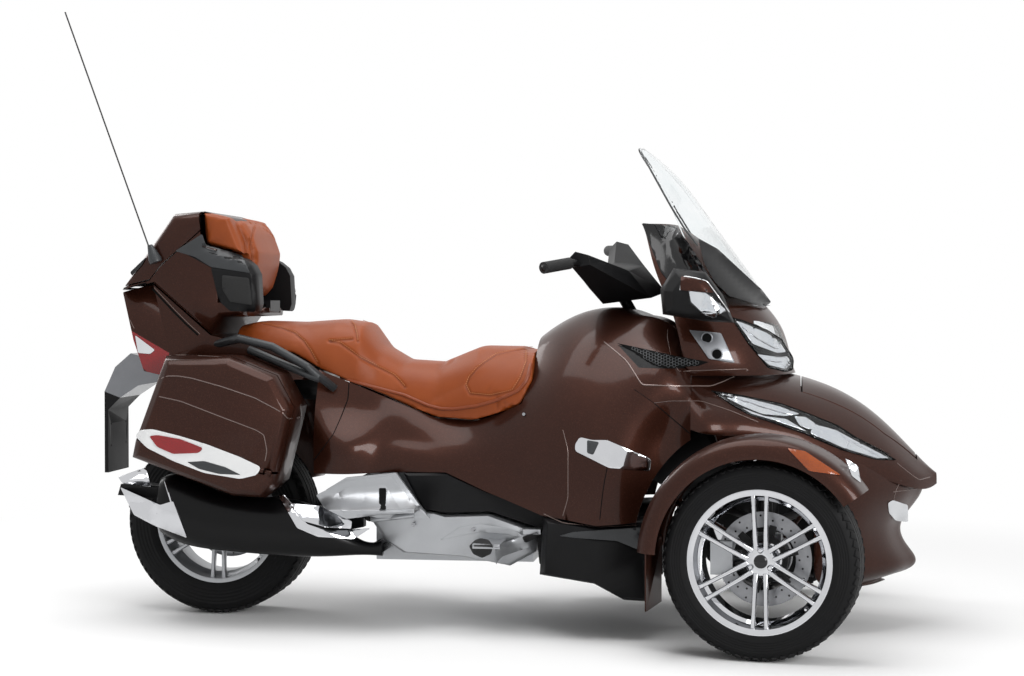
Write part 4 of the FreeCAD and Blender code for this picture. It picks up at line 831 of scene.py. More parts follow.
class Wheel:
    """Tyre, rim and brake disc of one wheel.

    BEAD, RIB and SHOULDER hold shares of the tyre's half width, with heights over the flange, heights over the rib's
    foot, and shares of the radius. SPOKE holds reach, offset, half width and depth. BARREL holds shares of the rim's
    half width, offsets, and heights over the flange. HUB, NUT, VALVE and CAP hold depth and radius.
    """

    GROOVES = (-0.62, -0.3, 0.0, 0.3, 0.62)
    GROOVE = ((-0.045, 0.0), (-0.03, 0.006), (0.03, 0.006), (0.045, 0.0))
    CROWN_DROP, SKIN_DROP = 0.012, 0.0008
    BEAD = ((0.90, -0.006), (0.97, 0.008), (0.985, 0.012))
    RIBS, RIB_FOOT = 5, 0.014
    RIB = ((0.99, 0.0), (1.0, 0.0015), (1.0, 0.004), (0.99, 0.0055))
    SHOULDER = ((0.985, 0.915), (0.93, 0.953), (0.86, 0.972))
    INSIDE = 0.85
    BLOCK_PITCH, BLOCK_TURN, BLOCK_LENGTH, BLOCK_HEIGHT, BLOCK_EDGE = 0.027, 0.45, 0.018, 0.005, 0.0008
    BLOCK_FROM, BLOCK_TO, BLOCK_SINK, BLOCK_FALL = 0.66, 0.95, 0.0034, 0.957
    SPOKE = ((0.034, 0.0135, 0.0085, 0.020), (0.06, 0.0150, 0.0078, 0.013), (0.11, 0.0165, 0.0066, 0.006),
             (0.16, 0.0180, 0.0062, 0.002), (0.190, 0.0195, 0.0085, 0.0015))
    SPOKE_SECTION = ((-1.0, 0.005), (-0.6, 0.0), (0.6, 0.0), (1.0, 0.005), (0.8, 0.024), (-0.8, 0.024))
    SPOKE_EDGE = 0.0012
    BARREL = ((-1, 0, -0.001), (-1, 0.004, 0.001), (-1, 0.006, -0.003), (-1, 0.006, -0.014), (-0.6, 0, -0.02),
              (-0.45, 0, -0.03), (0.45, 0, -0.03), (0.6, 0, -0.02), (1, -0.006, -0.014), (1, -0.006, -0.003),
              (1, 0, -0.001), (1, 0, -0.018), (0.55, 0, -0.026), (0.42, 0, -0.036), (-0.42, 0, -0.036),
              (-0.55, 0, -0.026), (-0.96, 0, -0.019), (-1, 0, -0.008))
    LIP = 0.006
    HUB = ((0.026, 0.0), (0.022, 0.02), (0.024, 0.040), (0.034, 0.047))
    HUB_FROM, HUB_TO = 0.08, 0.11
    NUT = ((0.008, 0.0), (0.010, 0.005), (0.015, 0.0085), (0.03, 0.009), (0.03, 0.0))
    NUTS, NUT_CIRCLE = 3, 0.032
    VALVE = ((-0.022, 0.0), (-0.022, 0.0035), (-0.004, 0.004), (0.0, 0.006), (0.0, 0.0))
    VALVE_TURN, VALVE_BACK = 2.35, 0.026
    CAP = ((0.012, 0.0), (0.013, 0.012), (0.017, 0.0185), (0.026, 0.021), (0.030, 0.0))
    DISC_BAND, DISC_DEPTH, DISC_SIDES, DISC_EDGE = 0.045, 0.005, 72, 0.0006
    HOLE_RADIUS, HOLE_DEPTH, HOLE_PROUD, HOLE_FROM, HOLE_PITCH, HOLE_ROWS = 0.0032, 0.0006, 0.0003, 0.010, 0.012, 3
    ARM = (0.022, 0.008, 0.034)
    ARM_EDGE, ARM_BACK, ARM_IN, ARM_TURN = 0.002, 0.003, 0.008, 0.25
    RING_BACK, RING_DEPTH, RING_IN, RING_OUT = 0.002, 0.008, 0.002, 0.01

    def __init__(self, sizes: WheelSizes) -> None:
        """Keep the sizes and work out the wheel's place."""
        self.sizes = sizes
        self.place = (Matrix.Translation(sizes.centre) @ Matrix.Rotation(math.radians(sizes.turn_deg), 4, "Z")
                      @ Matrix.Diagonal((1, -sizes.side, 1, 1)))
        self.front = -sizes.rim_width / 2 + self.LIP

    def add(self, name: str, form: Form, finish: Finish, replaces: Iterable[str] = (), sharp: float = 35.0) -> None:
        """Put a piece of the wheel in its place."""
        piece(name + "_" + self.sizes.body, put(form, self.place), finish, self.sizes.body, replaces, sharp)

    def faced(self, profile: Sequence[Point], steps: int) -> Form:
        """Turn a profile whose depths start at the rim's front."""
        return spun([(self.front + depth, radius) for depth, radius in profile], steps)

    def tyre(self) -> None:
        """Tyre with a grooved crown and ribbed walls."""
        s = self.sizes
        half = s.width / 2
        crown = [((middle + offset) * half,
                  s.radius - self.CROWN_DROP * abs(middle + offset) ** 3 - drop - self.SKIN_DROP)
                 for middle in self.GROOVES for offset, drop in self.GROOVE]
        wall = [(-half * share, s.flange + over) for share, over in self.BEAD]
        rise = s.radius * self.SHOULDER[0][1] - s.flange - self.RIB_FOOT
        for index in range(self.RIBS):
            foot = s.flange + self.RIB_FOOT + rise * index / self.RIBS
            wall += [(-half * share, foot + over) for share, over in self.RIB]
        wall += [(-half * share, s.radius * reach) for share, reach in self.SHOULDER]
        profile = wall + crown + [(-y, r) for y, r in reversed(wall)]
        inner = [(side * half * self.INSIDE, s.radius * self.INSIDE) for side in (1, -1)]
        self.add("tyre", spun(profile + inner, 96), TYRE, [s.nodes[0]], 40)

    def tread(self) -> None:
        """Slanted blocks on both shoulders of the tyre."""
        s = self.sizes
        half = s.width / 2
        blocks = []
        count = int(math.tau * s.radius / self.BLOCK_PITCH)
        for sign in (-1, 1):
            low = Vector((0, sign * self.BLOCK_FROM * half, s.radius - self.BLOCK_SINK))
            high = Vector((0, sign * self.BLOCK_TO * half, s.radius * self.BLOCK_FALL))
            block = rounded_box((0, 0, 0), (self.BLOCK_LENGTH, (high - low).length, self.BLOCK_HEIGHT),
                                self.BLOCK_EDGE)
            lean = Matrix.Rotation(sign * -math.atan2(low.z - high.z, abs(high.y - low.y)), 4, "X")
            slant = Matrix.Rotation(sign * self.BLOCK_TURN, 4, "Z")
            put(block, Matrix.Translation((low + high) / 2) @ lean @ slant)
            for index in range(count):
                blocks.append(put(block.copy(), Matrix.Rotation(math.tau * index / count, 4, "Y")))
            block.free()
        self.add("tread", merged(blocks), TYRE)

    def spoke(self, angle: float) -> Form:
        """Make one double spoke.

        Args:
            angle: Its turn about the wheel's axis.

        Returns:
            The form.
        """
        legs = []
        for sign in (-1, 1):
            loops = []
            for reach, offset, half, drop in self.SPOKE:
                x, y = sign * offset, self.front + drop
                loops.append([(x + half * share, y + depth, reach) for share, depth in self.SPOKE_SECTION])
            legs.append(rounded(lofted(loops), self.SPOKE_EDGE))
        return put(merged(legs), Matrix.Rotation(angle, 4, "Y"))

    def rim(self) -> None:
        """Barrel, spokes, hub, acorn nuts, valve and the blank centre cap."""
        s = self.sizes
        half = s.rim_width / 2
        barrel = [(half * share + offset, s.flange + over) for share, offset, over in self.BARREL]
        hub = self.HUB + ((self.HUB_FROM, s.hub), (self.HUB_TO, s.hub), (self.HUB_TO, 0.0))
        forms = [spun(barrel, 96), self.faced(hub, 48)]
        forms += [self.spoke(math.tau * index / s.spokes) for index in range(s.spokes)]
        for index in range(self.NUTS):
            forms.append(put(self.faced(self.NUT, 12), Matrix.Rotation(math.tau * index / self.NUTS, 4, "Y")
                             @ Matrix.Translation((0, 0, self.NUT_CIRCLE))))
        seat = Matrix.Translation((0, self.front + self.VALVE_BACK, s.flange - self.VALVE_BACK))
        forms.append(put(spun(self.VALVE, 12), Matrix.Rotation(self.VALVE_TURN, 4, "Y") @ seat))
        self.add("rim", merged(forms), s.finish, [s.nodes[1]], 32)
        self.add("hub_cap", self.faced(self.CAP, 32), GLOSS)

    def brake(self) -> None:
        """Drilled brake disc on its dark carrier."""
        s = self.sizes
        inner = s.disc_radius - self.DISC_BAND
        ring = spun([(s.disc_y, inner), (s.disc_y, s.disc_radius), (s.disc_y + self.DISC_DEPTH, s.disc_radius),
                     (s.disc_y + self.DISC_DEPTH, inner)], self.DISC_SIDES)
        holes = []
        for index in range(self.DISC_SIDES // 2):
            row = index % self.HOLE_ROWS
            place = (0, s.disc_y - self.HOLE_PROUD, inner + self.HOLE_FROM + self.HOLE_PITCH * row)
            turn = Matrix.Rotation(math.tau * (2 * index + 0.5 * row) / self.DISC_SIDES, 4, "Y")
            holes.append(put(disc_form(place, self.HOLE_RADIUS, self.HOLE_DEPTH, 10), turn))
        self.add("disc", rounded(ring, self.DISC_EDGE), STEEL)
        self.add("disc_holes", merged(holes), GLOSS)
        arms = []
        for index in range(s.spokes):
            arm = rounded_box((0, s.disc_y + self.ARM_BACK, inner - self.ARM_IN), self.ARM, self.ARM_EDGE)
            arms.append(put(arm, Matrix.Rotation(math.tau * (index + self.ARM_TURN) / s.spokes, 4, "Y")))
        low, high = s.disc_y - self.RING_BACK, s.disc_y + self.RING_DEPTH
        thin, wide = s.hub - self.RING_IN, s.hub + self.RING_OUT
        arms.append(spun([(low, thin), (low, wide), (high, wide), (high, thin)], 48))
        self.add("carrier", merged(arms), CHASSIS)

    def build(self) -> None:
        """Make the whole wheel."""
        self.tyre()
        self.tread()
        self.rim()
        self.brake()


# Padded pieces

@dataclass(frozen=True)
class PadSizes:
    """How a padded piece is puffed up, in metres."""

    node: str
    voxel: float = 0.009
    inset: float = 0.004
    cap: float = 0.006
    pressure: float = 4.0
    base: float = 0.03
    frames: int = 20
    softened: int = 3
    seam_width: float = 0.009
    seam_depth: float = 0.0035
    fill: float = 0.9
    sharp_deg: float = 75.0


class Pad:
    """Cushion whose cover is blown up by a cloth simulation, then sewn."""

    def __init__(self, sizes: PadSizes) -> None:
        """Keep the sizes and blow the cover up."""
        self.sizes = sizes
        self.form = self.puffed()
        self.skin = Skin(form=self.form)

    def puffed(self) -> Form:
        """Shrink, remesh and inflate the solid's form.

        Returns:
            The finished cover.
        """
        s = self.sizes
        form = cad_form(s.node)
        bmesh.ops.recalc_face_normals(form, faces=form.faces[:])
        mesh = bpy.data.meshes.new("cover")
        form.to_mesh(mesh)
        form.free()
        cover = linked("cover", mesh)
        remesh = cover.modifiers.new("remesh", "REMESH")
        remesh.mode = "VOXEL"
        remesh.voxel_size = s.voxel
        shrink = cover.modifiers.new("shrink", "DISPLACE")
        shrink.strength = -s.inset
        shrink.mid_level = 0.0
        soften = cover.modifiers.new("soften", "SMOOTH")
        soften.iterations = s.softened
        self.apply(cover)
        rest = [v.co.copy() for v in cover.data.vertices]
        low = min(v.z for v in rest)
        held = cover.vertex_groups.new(name="held")
        held.add([i for i, v in enumerate(rest) if v.z < low + s.base], 1.0, "REPLACE")
        cloth = cover.modifiers.new("cloth", "CLOTH")
        cloth.settings.use_pressure = True
        cloth.settings.uniform_pressure_force = s.pressure
        cloth.settings.effector_weights.gravity = 0.0
        cloth.settings.vertex_group_mass = "held"
        cloth.point_cache.frame_start = 1
        cloth.point_cache.frame_end = s.frames
        for step in range(1, s.frames + 1):
            bpy.context.scene.frame_set(step)
        self.apply(cover)
        bpy.context.scene.frame_set(1)
        for vert, start in zip(cover.data.vertices, rest):
            move = vert.co - start
            if move.length > s.cap:
                vert.co = start + move * (s.cap / move.length)
        finer = cover.modifiers.new("finer", "SUBSURF")
        finer.levels = 1
        self.apply(cover)
        form = bmesh.new()
        form.from_mesh(cover.data)
        bpy.data.objects.remove(cover)
        return form

    @staticmethod
    def apply(cover: Object) -> None:
        """Keep the result of an object's modifiers as its mesh.

        Args:
            cover: Object to change.
        """
        graph = bpy.context.evaluated_depsgraph_get()
        mesh = bpy.data.meshes.new_from_object(cover.evaluated_get(graph))
        cover.modifiers.clear()
        cover.data = mesh

    def finish(self, name: str, body: str) -> None:
        """Turn the cover into a padded leather piece.

        Args:
            name: Name of the piece.
            body: Body that it rides on.
        """
        made = piece(name, self.form, LEATHER, body, [self.sizes.node], self.sizes.sharp_deg)

    def press(self, path: Sequence[Vector]) -> None:
        """Press a sewn channel into the cover.

        Args:
            path: Points of the seam.
        """
        width, depth = self.sizes.seam_width, self.sizes.seam_depth
        finder = KDTree(len(path))
        for index, point in enumerate(path):
            finder.insert(point, index)
        finder.balance()
        self.form.normal_update()
        for vert in self.form.verts:
            gap = finder.find(vert.co)[2]
            if gap < width:
                vert.co = vert.co - vert.normal * depth * (0.5 + 0.5 * math.cos(math.pi * gap / width))


class Seating:
    """Two-step saddle and the passenger's back cushion, with seams, bead and stitches."""

    SEAMS = {
        "nose_patch": "526,349 511,351 497,354 486,361 477,368 469,377 466,385 470,394 490,396 512,391 "
                      "520,378 526,362 526,352",
        "side": "264,324 282,328 295,333 304,341 311,351 318,364",
        "step": "330,341 340,343 350,350 359,357 378,367 394,375 400,381 405,387",
        "hump": "330,341 341,340 352,339",
        "nape": "352,322 355,326 357,334 358,341",
    }
    EDGE = ("300,357 316,368 337,376 359,383 381,389 404,395 429,406 442,409 455,409 477,406 498,400 "
            "518,391 525,383 529,374 531,364")
    BACK_SEAM = "257,222 254,229 252,238 251,247 252,256 253,268"
    FINE, COARSE = 0.006, 0.015
    THREAD_RISE, BEAD_RISE, BEAD = 0.004, 0.0015, 0.0055

    @staticmethod
    def twins(route: Sequence[Vector]) -> tuple[Sequence[Vector], list[Vector]]:
        """Give a route and its mirror image."""
        return route, [Vector((point.x, -point.y, point.z)) for point in route]

    def saddle(self) -> None:
        """Saddle, with its patches sewn in and a corded edge."""
        pad = Pad(PadSizes("seat"))
        threads = []
        for seam in self.SEAMS.values():
            for route in self.twins(pad.skin.line(drawn(seam), step=self.FINE)):
                pad.press(route)
                threads.append(stitches([point + Vector((0, 0, self.THREAD_RISE)) for point in route]))
        edge = pad.skin.line(drawn(self.EDGE), lift=self.BEAD_RISE, step=self.COARSE)
        pad.finish("saddle", "chassis")
        piece("saddle_bead", paired(tube(edge, self.BEAD)), PIPING)
        piece("saddle_stitches", merged(threads), THREAD)

    def back(self) -> None:
        """Back cushion with its side wings."""
        pad = Pad(PadSizes("backrest", voxel=0.006, cap=0.008, base=0.0, seam_width=0.010, seam_depth=0.004))
        for route in self.twins(pad.skin.line(drawn(self.BACK_SEAM), step=self.FINE)):
            pad.press(route)
        pad.finish("back_cushion", BODY_OF["backrest"])

    def build(self) -> None:
        """Make both soft pieces."""
        self.saddle()
        self.back()


# Trim laid on the body

def laid(name: str, form: Form, finish: Finish, node: str, both: bool) -> None:
    """Make a right-hand piece, and its mirror image on the matching body of the other side.

    Args:
        name: Name of the piece.
        form: Its form.
        finish: Its finish.
        node: CAD node that carries it.
        both: Whether the vehicle has one on each side.
    """
    if both and node.endswith("_right"):
        piece(name + "_left", put(form.copy(), MIRRORED), finish, BODY_OF[node.replace("_right", "_left")])
        piece(name + "_right", form, finish, BODY_OF[node])
        return
    piece(name, paired(form) if both else form, finish, BODY_OF[node])


@dataclass(frozen=True)
class Trim:
    """Plate of trim: the nodes it lies on, its outline as x,y pairs, its finish and its sizes in metres."""

    name: str
    nodes: tuple[str, ...]
    outline: str
    finish: Finish
    thick: float = 0.003
    lift: float = 0.0
    corner: float = 0.004
    both: bool = True
    view: View = View.EYE

    def build(self) -> None:
        """Lay the piece, and its mirror image where the vehicle has one."""
        form = Skin(*self.nodes).patch(drawn(self.outline), self.view, self.lift, self.thick, self.corner)
        laid(self.name, form, self.finish, self.nodes[0], self.both)


@dataclass(frozen=True)
class Line:
    """Bead, crease, painted highlight line or open joint: the nodes it lies on, its route as x,y pairs and its radius
    in metres.
    """

    name: str
    nodes: tuple[str, ...]
    route: str
    finish: Finish
    radius: float = 0.0013
    lift: float = 0.0
    both: bool = True
    view: View = View.EYE

    def build(self) -> None:
        """Lay the line, and its mirror image where the vehicle has one."""
        path = Skin(*self.nodes).line(drawn(self.route), self.view, self.lift)
        laid(self.name, tube(path, self.radius), self.finish, self.nodes[0], self.both)


# Painted highlight on a rolled or folded edge of a lacquered panel: a lighter brown that stands for the bright line
# of light the edge catches.
PAINTED_HIGHLIGHT = Paint("painted_highlight_lacquer", "brown_paint", "655551", "75655F", 0.25, 0.6, 0.3, 5.0, 0.02, 200.0, specular=0.5)
# Open joint between two panels: unlit, matt black.
JOINT = Finish("panel_joint", "dark_plastic", "050505", "080808", 0.8, grain_mm=3.0, depth_mm=0.05, specular=0.1)
# Pale pearl lacquer on moulded trim: a light edge beside the dark paint.
WHITE = Finish("bright_lacquer", "bright_chrome", "D9DADB", "E6E6E6", 0.12, 0.5, 0.5, 8.0, 0.01)
FRONT = ("hood_surround", "front_lid", "cowl", "side_fairings", "top_cover", "dash_and_grilles")
MIRRORS = ("mirrors",)
WING = ("cowl", "windscreen")
LAMP = ("cowl", "headlamps")
LONG_LAMP = ("hood_surround", "headlamps")
SILENCER = ("silencer",)
FENDER = ("fender_right",)
FEET = ("footrests", "lower_panels")
ENGINE = ("footrests", "engine")
POD = ("arm_rests", "top_case")
DOOR = ("pannier_door_right", "pannier_right")
NOSE = ("hood_surround", "fascia")
CASE = ("top_case", "tail")
LID = ("top_case_lid", "top_case")
PIECES = (
    Trim("mirror_cover", MIRRORS, "681,276 706,281 714,293 688,291 680,290", PAINT),
    Trim("mirror_lamp_bowl", MIRRORS, "689,291 706,293 726,310 714,318 705,315 691,302", BOWL, 0.002),
    Trim("mirror_lamp_lens", MIRRORS, "688,290 707,292 728,310 714,319 704,316 690,303", LENS, 0.006, 0.002),
    Line("mirror_edge", MIRRORS, "680,290 681,283 683,276 695,278 707,281 718,296 729,312", WHITE, 0.0018),
    Trim("wing_dark", WING,
         "642,223 676,226 692,248 700,262 712,281 711,288 694,281 670,283 661,272 652,250", GLOSS, 0.004),
    Trim("wing_lens", WING, "671,240 682,245 696,263 709,280 698,275 680,257", PEWTER, 0.0045, corner=0.002),
    Trim("vent_pod", ("cowl",), "689,330 721,333 735,363 717,360 709,359", PEWTER, 0.006),
    Trim("lamp_bed", LAMP,
         "731,317 743,320 768,330 782,339 794,360 793,370 786,372 768,368 748,344", JOINT, 0.0015),
    Trim("lamp_bowl", LAMP, "736,321 743,323 767,333 779,341 786,352 777,353 753,344", BOWL, 0.003),
    Trim("lamp_low_bowl", LAMP, "757,354 778,357 788,356 791,364 786,369 769,365", BOWL, 0.003),
    Trim("lamp_lens", LAMP,
         "733,319 742,321 768,331 781,340 793,360 792,369 786,371 769,367 750,344", LENS, 0.003, 0.007),
    Trim("long_lamp_bed", LONG_LAMP,
         "710,390 742,395 781,403 806,412 838,425 858,438 897,460 877,460 844,451 829,445 804,434 772,423 "
         "749,415 734,407", JOINT, 0.0015),
    Trim("long_lamp_bowl", LONG_LAMP, "716,392 742,397 778,406 800,414 786,416 762,414 740,405", BOWL, 0.003),
    Trim("long_lamp_blade", LONG_LAMP,
         "742,408 764,416 786,419 806,431 774,420 752,414", BOWL, 0.003, corner=0.002),
    Trim("long_lamp_projector", LONG_LAMP, "794,416 806,417 816,424 812,430 799,425", BOWL, 0.007, corner=0.006),
    Trim("long_lamp_middle", LONG_LAMP, "814,424 836,430 850,441 846,449 828,441 810,433", BOWL, 0.005),
    Trim("long_lamp_tip", LONG_LAMP, "834,429 854,440 889,458 877,458 847,449 838,441", BOWL, 0.003),
    Trim("long_lamp_lens", LONG_LAMP,
         "712,391 742,396 780,404 805,413 836,426 855,438 894,459 877,459 845,450 830,444 805,433 773,422 "
         "751,415 736,407", LENS, 0.003, 0.008),
    Trim("nose_lamp", ("fascia", "hood_surround"),
         "888,503 893,500 908,505 908,522 896,521 889,513", BOWL, 0.004),
    Trim("amber_reflector", FENDER, "787,448 805,451 841,475 830,474 809,471", AMBER, 0.004, both=False),
    Trim("fender_lamp", FENDER, "845,458 858,466 861,483 852,476", BOWL, 0.004, both=False),
    Trim("badge_plate", ("side_fairings", "hood_surround", "middle_panels"),
         "575,444 580,437 592,440 607,440 651,459 650,471 609,468 575,451", CHROME, 0.006, corner=0.006),
    Trim("badge_eye", ("side_fairings",), "587,440 599,442 593,455 587,453", GREY, 0.008),
    Trim("pannier_trim", DOOR,
         "135,436 140,430 152,429 180,436 206,444 240,457 261,467 257,475 240,479 204,473 173,461 147,448",
         WHITE, 0.004, corner=0.008),
    Trim("pannier_lens", ("pannier_door_right",),
         "149,436 157,435 180,439 203,448 199,453 173,454 157,447", RED, 0.006, 0.002, 0.006),
    Trim("pannier_insert", DOOR, "187,462 204,461 225,467 241,475 219,474 199,469", GREY, 0.0055, corner=0.004),
    Trim("under_screen", ("cowl", "handlebar_cover", "windscreen"),
         "698,238 718,249 761,289 771,302 765,307 729,296 714,281 704,263", GLOSS, 0.004),
    Trim("pod_top", POD, "175,251 202,234 206,245 242,255 250,273 211,267 195,257", GREY, 0.003),
    Trim("pod_frame", POD, "211,268 250,273 256,293 255,312 230,311 219,301", PLASTIC, 0.003),
    Trim("pod_mesh", POD, "222,275 249,278 252,305 230,302 222,289", GRIP, 0.006),
    Trim("lid_latch", LID, "130,272 146,257 142,265 132,276", GLOSS, 0.006, both=False),
    Trim("tail_lens_clear", ("tail_lamps", "tail"), "135,335 155,350 150,354 138,353", BOWL, 0.004),
    Trim("foot_bracket", FEET, "316,495 345,481 391,476 420,510 346,519 324,508", SILVER, 0.003, 0.001),
    Trim("foot_bracket_recess", FEET, "331,498 346,488 385,485 403,512 345,515", SILVER, 0.0045),
    Trim("foot_bracket_slot", FEET, "379,488 386,488 386,510 379,510", JOINT, 0.006, corner=0.003),
    Trim("engine_recess", ENGINE,
         "440,540 460,527 481,524 512,529 529,539 508,535 481,532 460,536", SILVER, 0.003),
    Trim("brake_pad", ENGINE, "469,546 475,540 481,538 489,540 493,546 491,554 482,558 473,554", GRIP, 0.010),
    Trim("pedal_arm", ENGINE, "496,565 495,546 529,534 541,538 539,544 501,557", SILVER, 0.008),
    Trim("pedal_tip", ENGINE, "522,537 537,532 540,537 525,543", GRIP, 0.012),
    Trim("fairing_bevel", ("lower_panels", "side_fairings"),
         "559,536 573,532 645,527 646,553 617,541 576,538", GREY, 0.003),
    Trim("heat_shield", SILENCER,
         "278,495 297,528 318,537 354,539 371,528 328,531 307,524 285,495", CHROME, 0.004, both=False),
    Trim("shield_inner", SILENCER, "288,503 322,506 352,521 351,529 325,527 303,521", CHROME, 0.006, both=False),
    Trim("tip_upper", SILENCER, "118,477 146,467 151,487 122,483", CHROME, 0.006, both=False),
    Trim("tip_lower", SILENCER, "120,487 160,505 173,501 187,538 155,526 134,515", CHROME, 0.006, both=False),
)
LINES = (
    Line("screen_edge", ("windscreen",), "641,152 655,178 670,205 684,228 698,246", GREY, 0.003),
    Line("lamp_rib", LAMP, "742,327 758,339 774,348 784,350", CHROME, 0.0022, 0.004),
    Line("lamp_low_rib", LAMP, "765,360 776,362 787,362", CHROME, 0.002, 0.004),
    Line("long_lamp_rib", LONG_LAMP, "722,394 750,403 776,411 792,415", CHROME, 0.0022, 0.004),
    Line("long_lamp_tip_rib", LONG_LAMP, "840,436 858,445 880,457", CHROME, 0.0022, 0.004),
    # Lines in the lighter edge paint are painted highlights along creases, folds and panel edges.
    Line("nose_highlight", ("hood_surround", "fascia", "front_lid"), "897,463 908,472 919,480 930,477", PAINTED_HIGHLIGHT),
    Line("nose_lip_highlight", NOSE, "901,480 896,490 894,498 892,510 892,519", PAINTED_HIGHLIGHT),
    Line("nose_fold_highlight", NOSE, "893,492 906,490 919,488 924,490", PAINTED_HIGHLIGHT),
    Line("lid_joint", LID, "117,290 131,287 146,283", JOINT, 0.0022),
    Line("lid_seal", ("top_case",),
         "-205,1062 -100,1062 0,1062 100,1062 205,1062", GRIP, 0.018, -0.006, False, View.REAR),
    Line("case_highlight", ("top_case", "tail", "top_case_lid"), "122,304 130,320 138,336 148,347 159,357", PAINTED_HIGHLIGHT),
    Line("case_groove", CASE, "148,284 161,298 174,312 186,324 198,335", JOINT, 0.003),
    Line("case_groove_highlight", CASE, "150,283 163,297 176,311 188,323 200,334", PAINTED_HIGHLIGHT),
    Line("pannier_highlight", ("pannier_right", "tail", "middle_panels"), "159,357 174,355 189,355 223,357", PAINTED_HIGHLIGHT),
    Line("door_highlight", DOOR,
         "157,381 166,376 178,376 191,378 223,387 255,398 283,413 288,419 300,417", PAINTED_HIGHLIGHT, 0.002),
    Line("door_lip_highlight", DOOR, "152,395 180,401 219,416 256,430 264,435 267,451 265,461", PAINTED_HIGHLIGHT, 0.0018),
    Line("pannier_oval", ("pannier_right", "middle_panels"),
         "242,365 232,370 238,376 257,383 287,389 315,390", JOINT, 0.0012),
    Line("side_joint", ("middle_panels", "pannier_right"),
         "349,383 348,399 341,417 333,435 314,460 297,482", JOINT, 0.0016),
    Line("hood_highlight", FRONT, "604,342 618,352 628,363 642,385 676,386 711,386 722,382 748,370", PAINTED_HIGHLIGHT, 0.0024),
    Line("arch_highlight", FRONT, "654,403 671,401 701,401 729,410 758,422", PAINTED_HIGHLIGHT),
    Line("arch_joint", FRONT, "628,385 641,394 654,403 675,421 695,438", JOINT),
    Line("cowl_joint_highlight", FRONT, "668,330 667,335 671,357 679,372 686,371 716,370 747,369", PAINTED_HIGHLIGHT, 0.0012),
    Line("low_highlight", ("side_fairings", "middle_panels", "lower_panels"),
         "544,514 563,523 599,527 625,526 651,524", PAINTED_HIGHLIGHT, 0.002),
    Line("fairing_highlight", ("side_fairings", "middle_panels"), "563,430 568,450 568,475 568,498 561,522", PAINTED_HIGHLIGHT),
    Line("fairing_joint", ("side_fairings",), "607,468 604,484 602,498 599,527", JOINT),
    Line("silencer_seam", SILENCER, "161,469 167,488 173,508 180,523 186,537", CHROME, 0.003, both=False),
    Line("bracket_edge", FEET, "331,498 346,488 385,485 403,512 372,514 345,515 331,498", SILVER, 0.002),
    Line("footboard", ("footrests",), "343,520 366,520 390,518 414,515", SILVER, 0.008, 0.004),
)


class Details:
    """Small pieces: grille mesh, outlets, screws and the aerial's foot."""

    GRILLE = "617,343 645,349 676,356 709,362 698,366 667,368 652,364 636,353"
    CELL, CELL_SIDE, WIRE = 2.9, 1.75, 0.0011
    CELLS_LEFT, CELLS_TOP, ROWS, COLUMNS = 616, 342.5, 9, 34
    BED_RISE, BED_THICK = 0.001, 0.002
    OUTLETS = "707,338 717,354"
    STUDS = (("vent_outlets", ("cowl",), OUTLETS, 0.0145, 0.012, JOINT),
             ("vent_rings", ("cowl",), OUTLETS, 0.018, 0.009, PEWTER),
             ("body_screws", ("middle_panels", "side_fairings"), "524,414", 0.005, 0.009, ZINC),
             ("cover_screws", ("footrests", "engine"), "325,496 414,524 474,529 517,564", 0.0065, 0.009, ZINC))
    STUD_RISE, STUD_EDGE = 0.005, 0.001
    FOOT = ((0.0, 0.0), (0.0, 0.020), (0.012, 0.021), (0.04, 0.013), (0.058, 0.008), (0.06, 0.0))
    FOOT_SINK, FOOT_LEAN = 0.004, (-0.35, 0, 0.94)

    def honeycomb(self) -> None:
        """Honeycomb mesh in the side grille."""
        outline = drawn(self.GRILLE)
        body = Skin("cowl", "dash_and_grilles", "side_fairings", "top_cover")
        bed = body.patch(outline, lift=self.BED_RISE, thick=self.BED_THICK)
        skin = Skin(form=bed.copy())
        piece("grille_bed", paired(bed), JOINT)
        wires = []
        corners = [(self.CELL_SIDE * math.cos(math.tau * k / 6), self.CELL_SIDE * math.sin(math.tau * k / 6))
                   for k in range(6)]
        for row in range(self.ROWS):
            for column in range(self.COLUMNS):
                x = self.CELLS_LEFT + column * self.CELL
                y = self.CELLS_TOP + row * self.CELL + (column % 2) * self.CELL / 2
                if not self.inside((x, y), outline):
                    continue
                path = skin.line([(x + across, y + down) for across, down in corners], lift=self.BED_RISE, step=1.0)
                if len(path) == len(corners):
                    wires.append(tube(path, self.WIRE, True))
        piece("grille_mesh", paired(merged(wires)), GREY)

    @staticmethod
    def inside(point: Point, outline: Sequence[Point]) -> bool:
        """Tell whether a point lies inside an outline.

        Args:
            point: The point.
            outline: Corners in order.

        Returns:
            Whether it does.
        """
        hit = False
        for (a, b), (c, d) in zip(outline, list(outline[1:]) + [outline[0]]):
            if (b > point[1]) != (d > point[1]) and point[0] < a + (c - a) * (point[1] - b) / (d - b):
                hit = not hit
        return hit

    def studs(self) -> None:
        """Outlets of the vent pod, and screws on the covers."""
        for name, nodes, spots, radius, depth, finish in self.STUDS:
            skin = Skin(*nodes)
            forms = []
            for spot in drawn(spots):
                start = View.EYE.place(*spot)
                place = skin.meet(start, View.EYE.into(start))
                if place is not None:
                    forms.append(disc_form(place - Vector((0, self.STUD_RISE, 0)), radius, depth, 20, self.STUD_EDGE))
            piece(name, paired(merged(forms)), finish)

    def aerial(self) -> None:
        """Cone at the aerial's foot."""
        low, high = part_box("antenna")
        foot = Vector((high[0], (low[1] + high[1]) / 2, low[2]))
        turn = Vector((0, 1, 0)).rotation_difference(Vector(self.FOOT_LEAN)).to_matrix().to_4x4()
        place = Matrix.Translation(foot - Vector((0, 0, self.FOOT_SINK)))
        piece("aerial_foot", put(spun(self.FOOT, 24), place @ turn), GREY, BODY_OF["antenna"])

    def build(self) -> None:
        """Make all of them."""
        self.honeycomb()
        self.studs()
        self.aerial()


# Stage

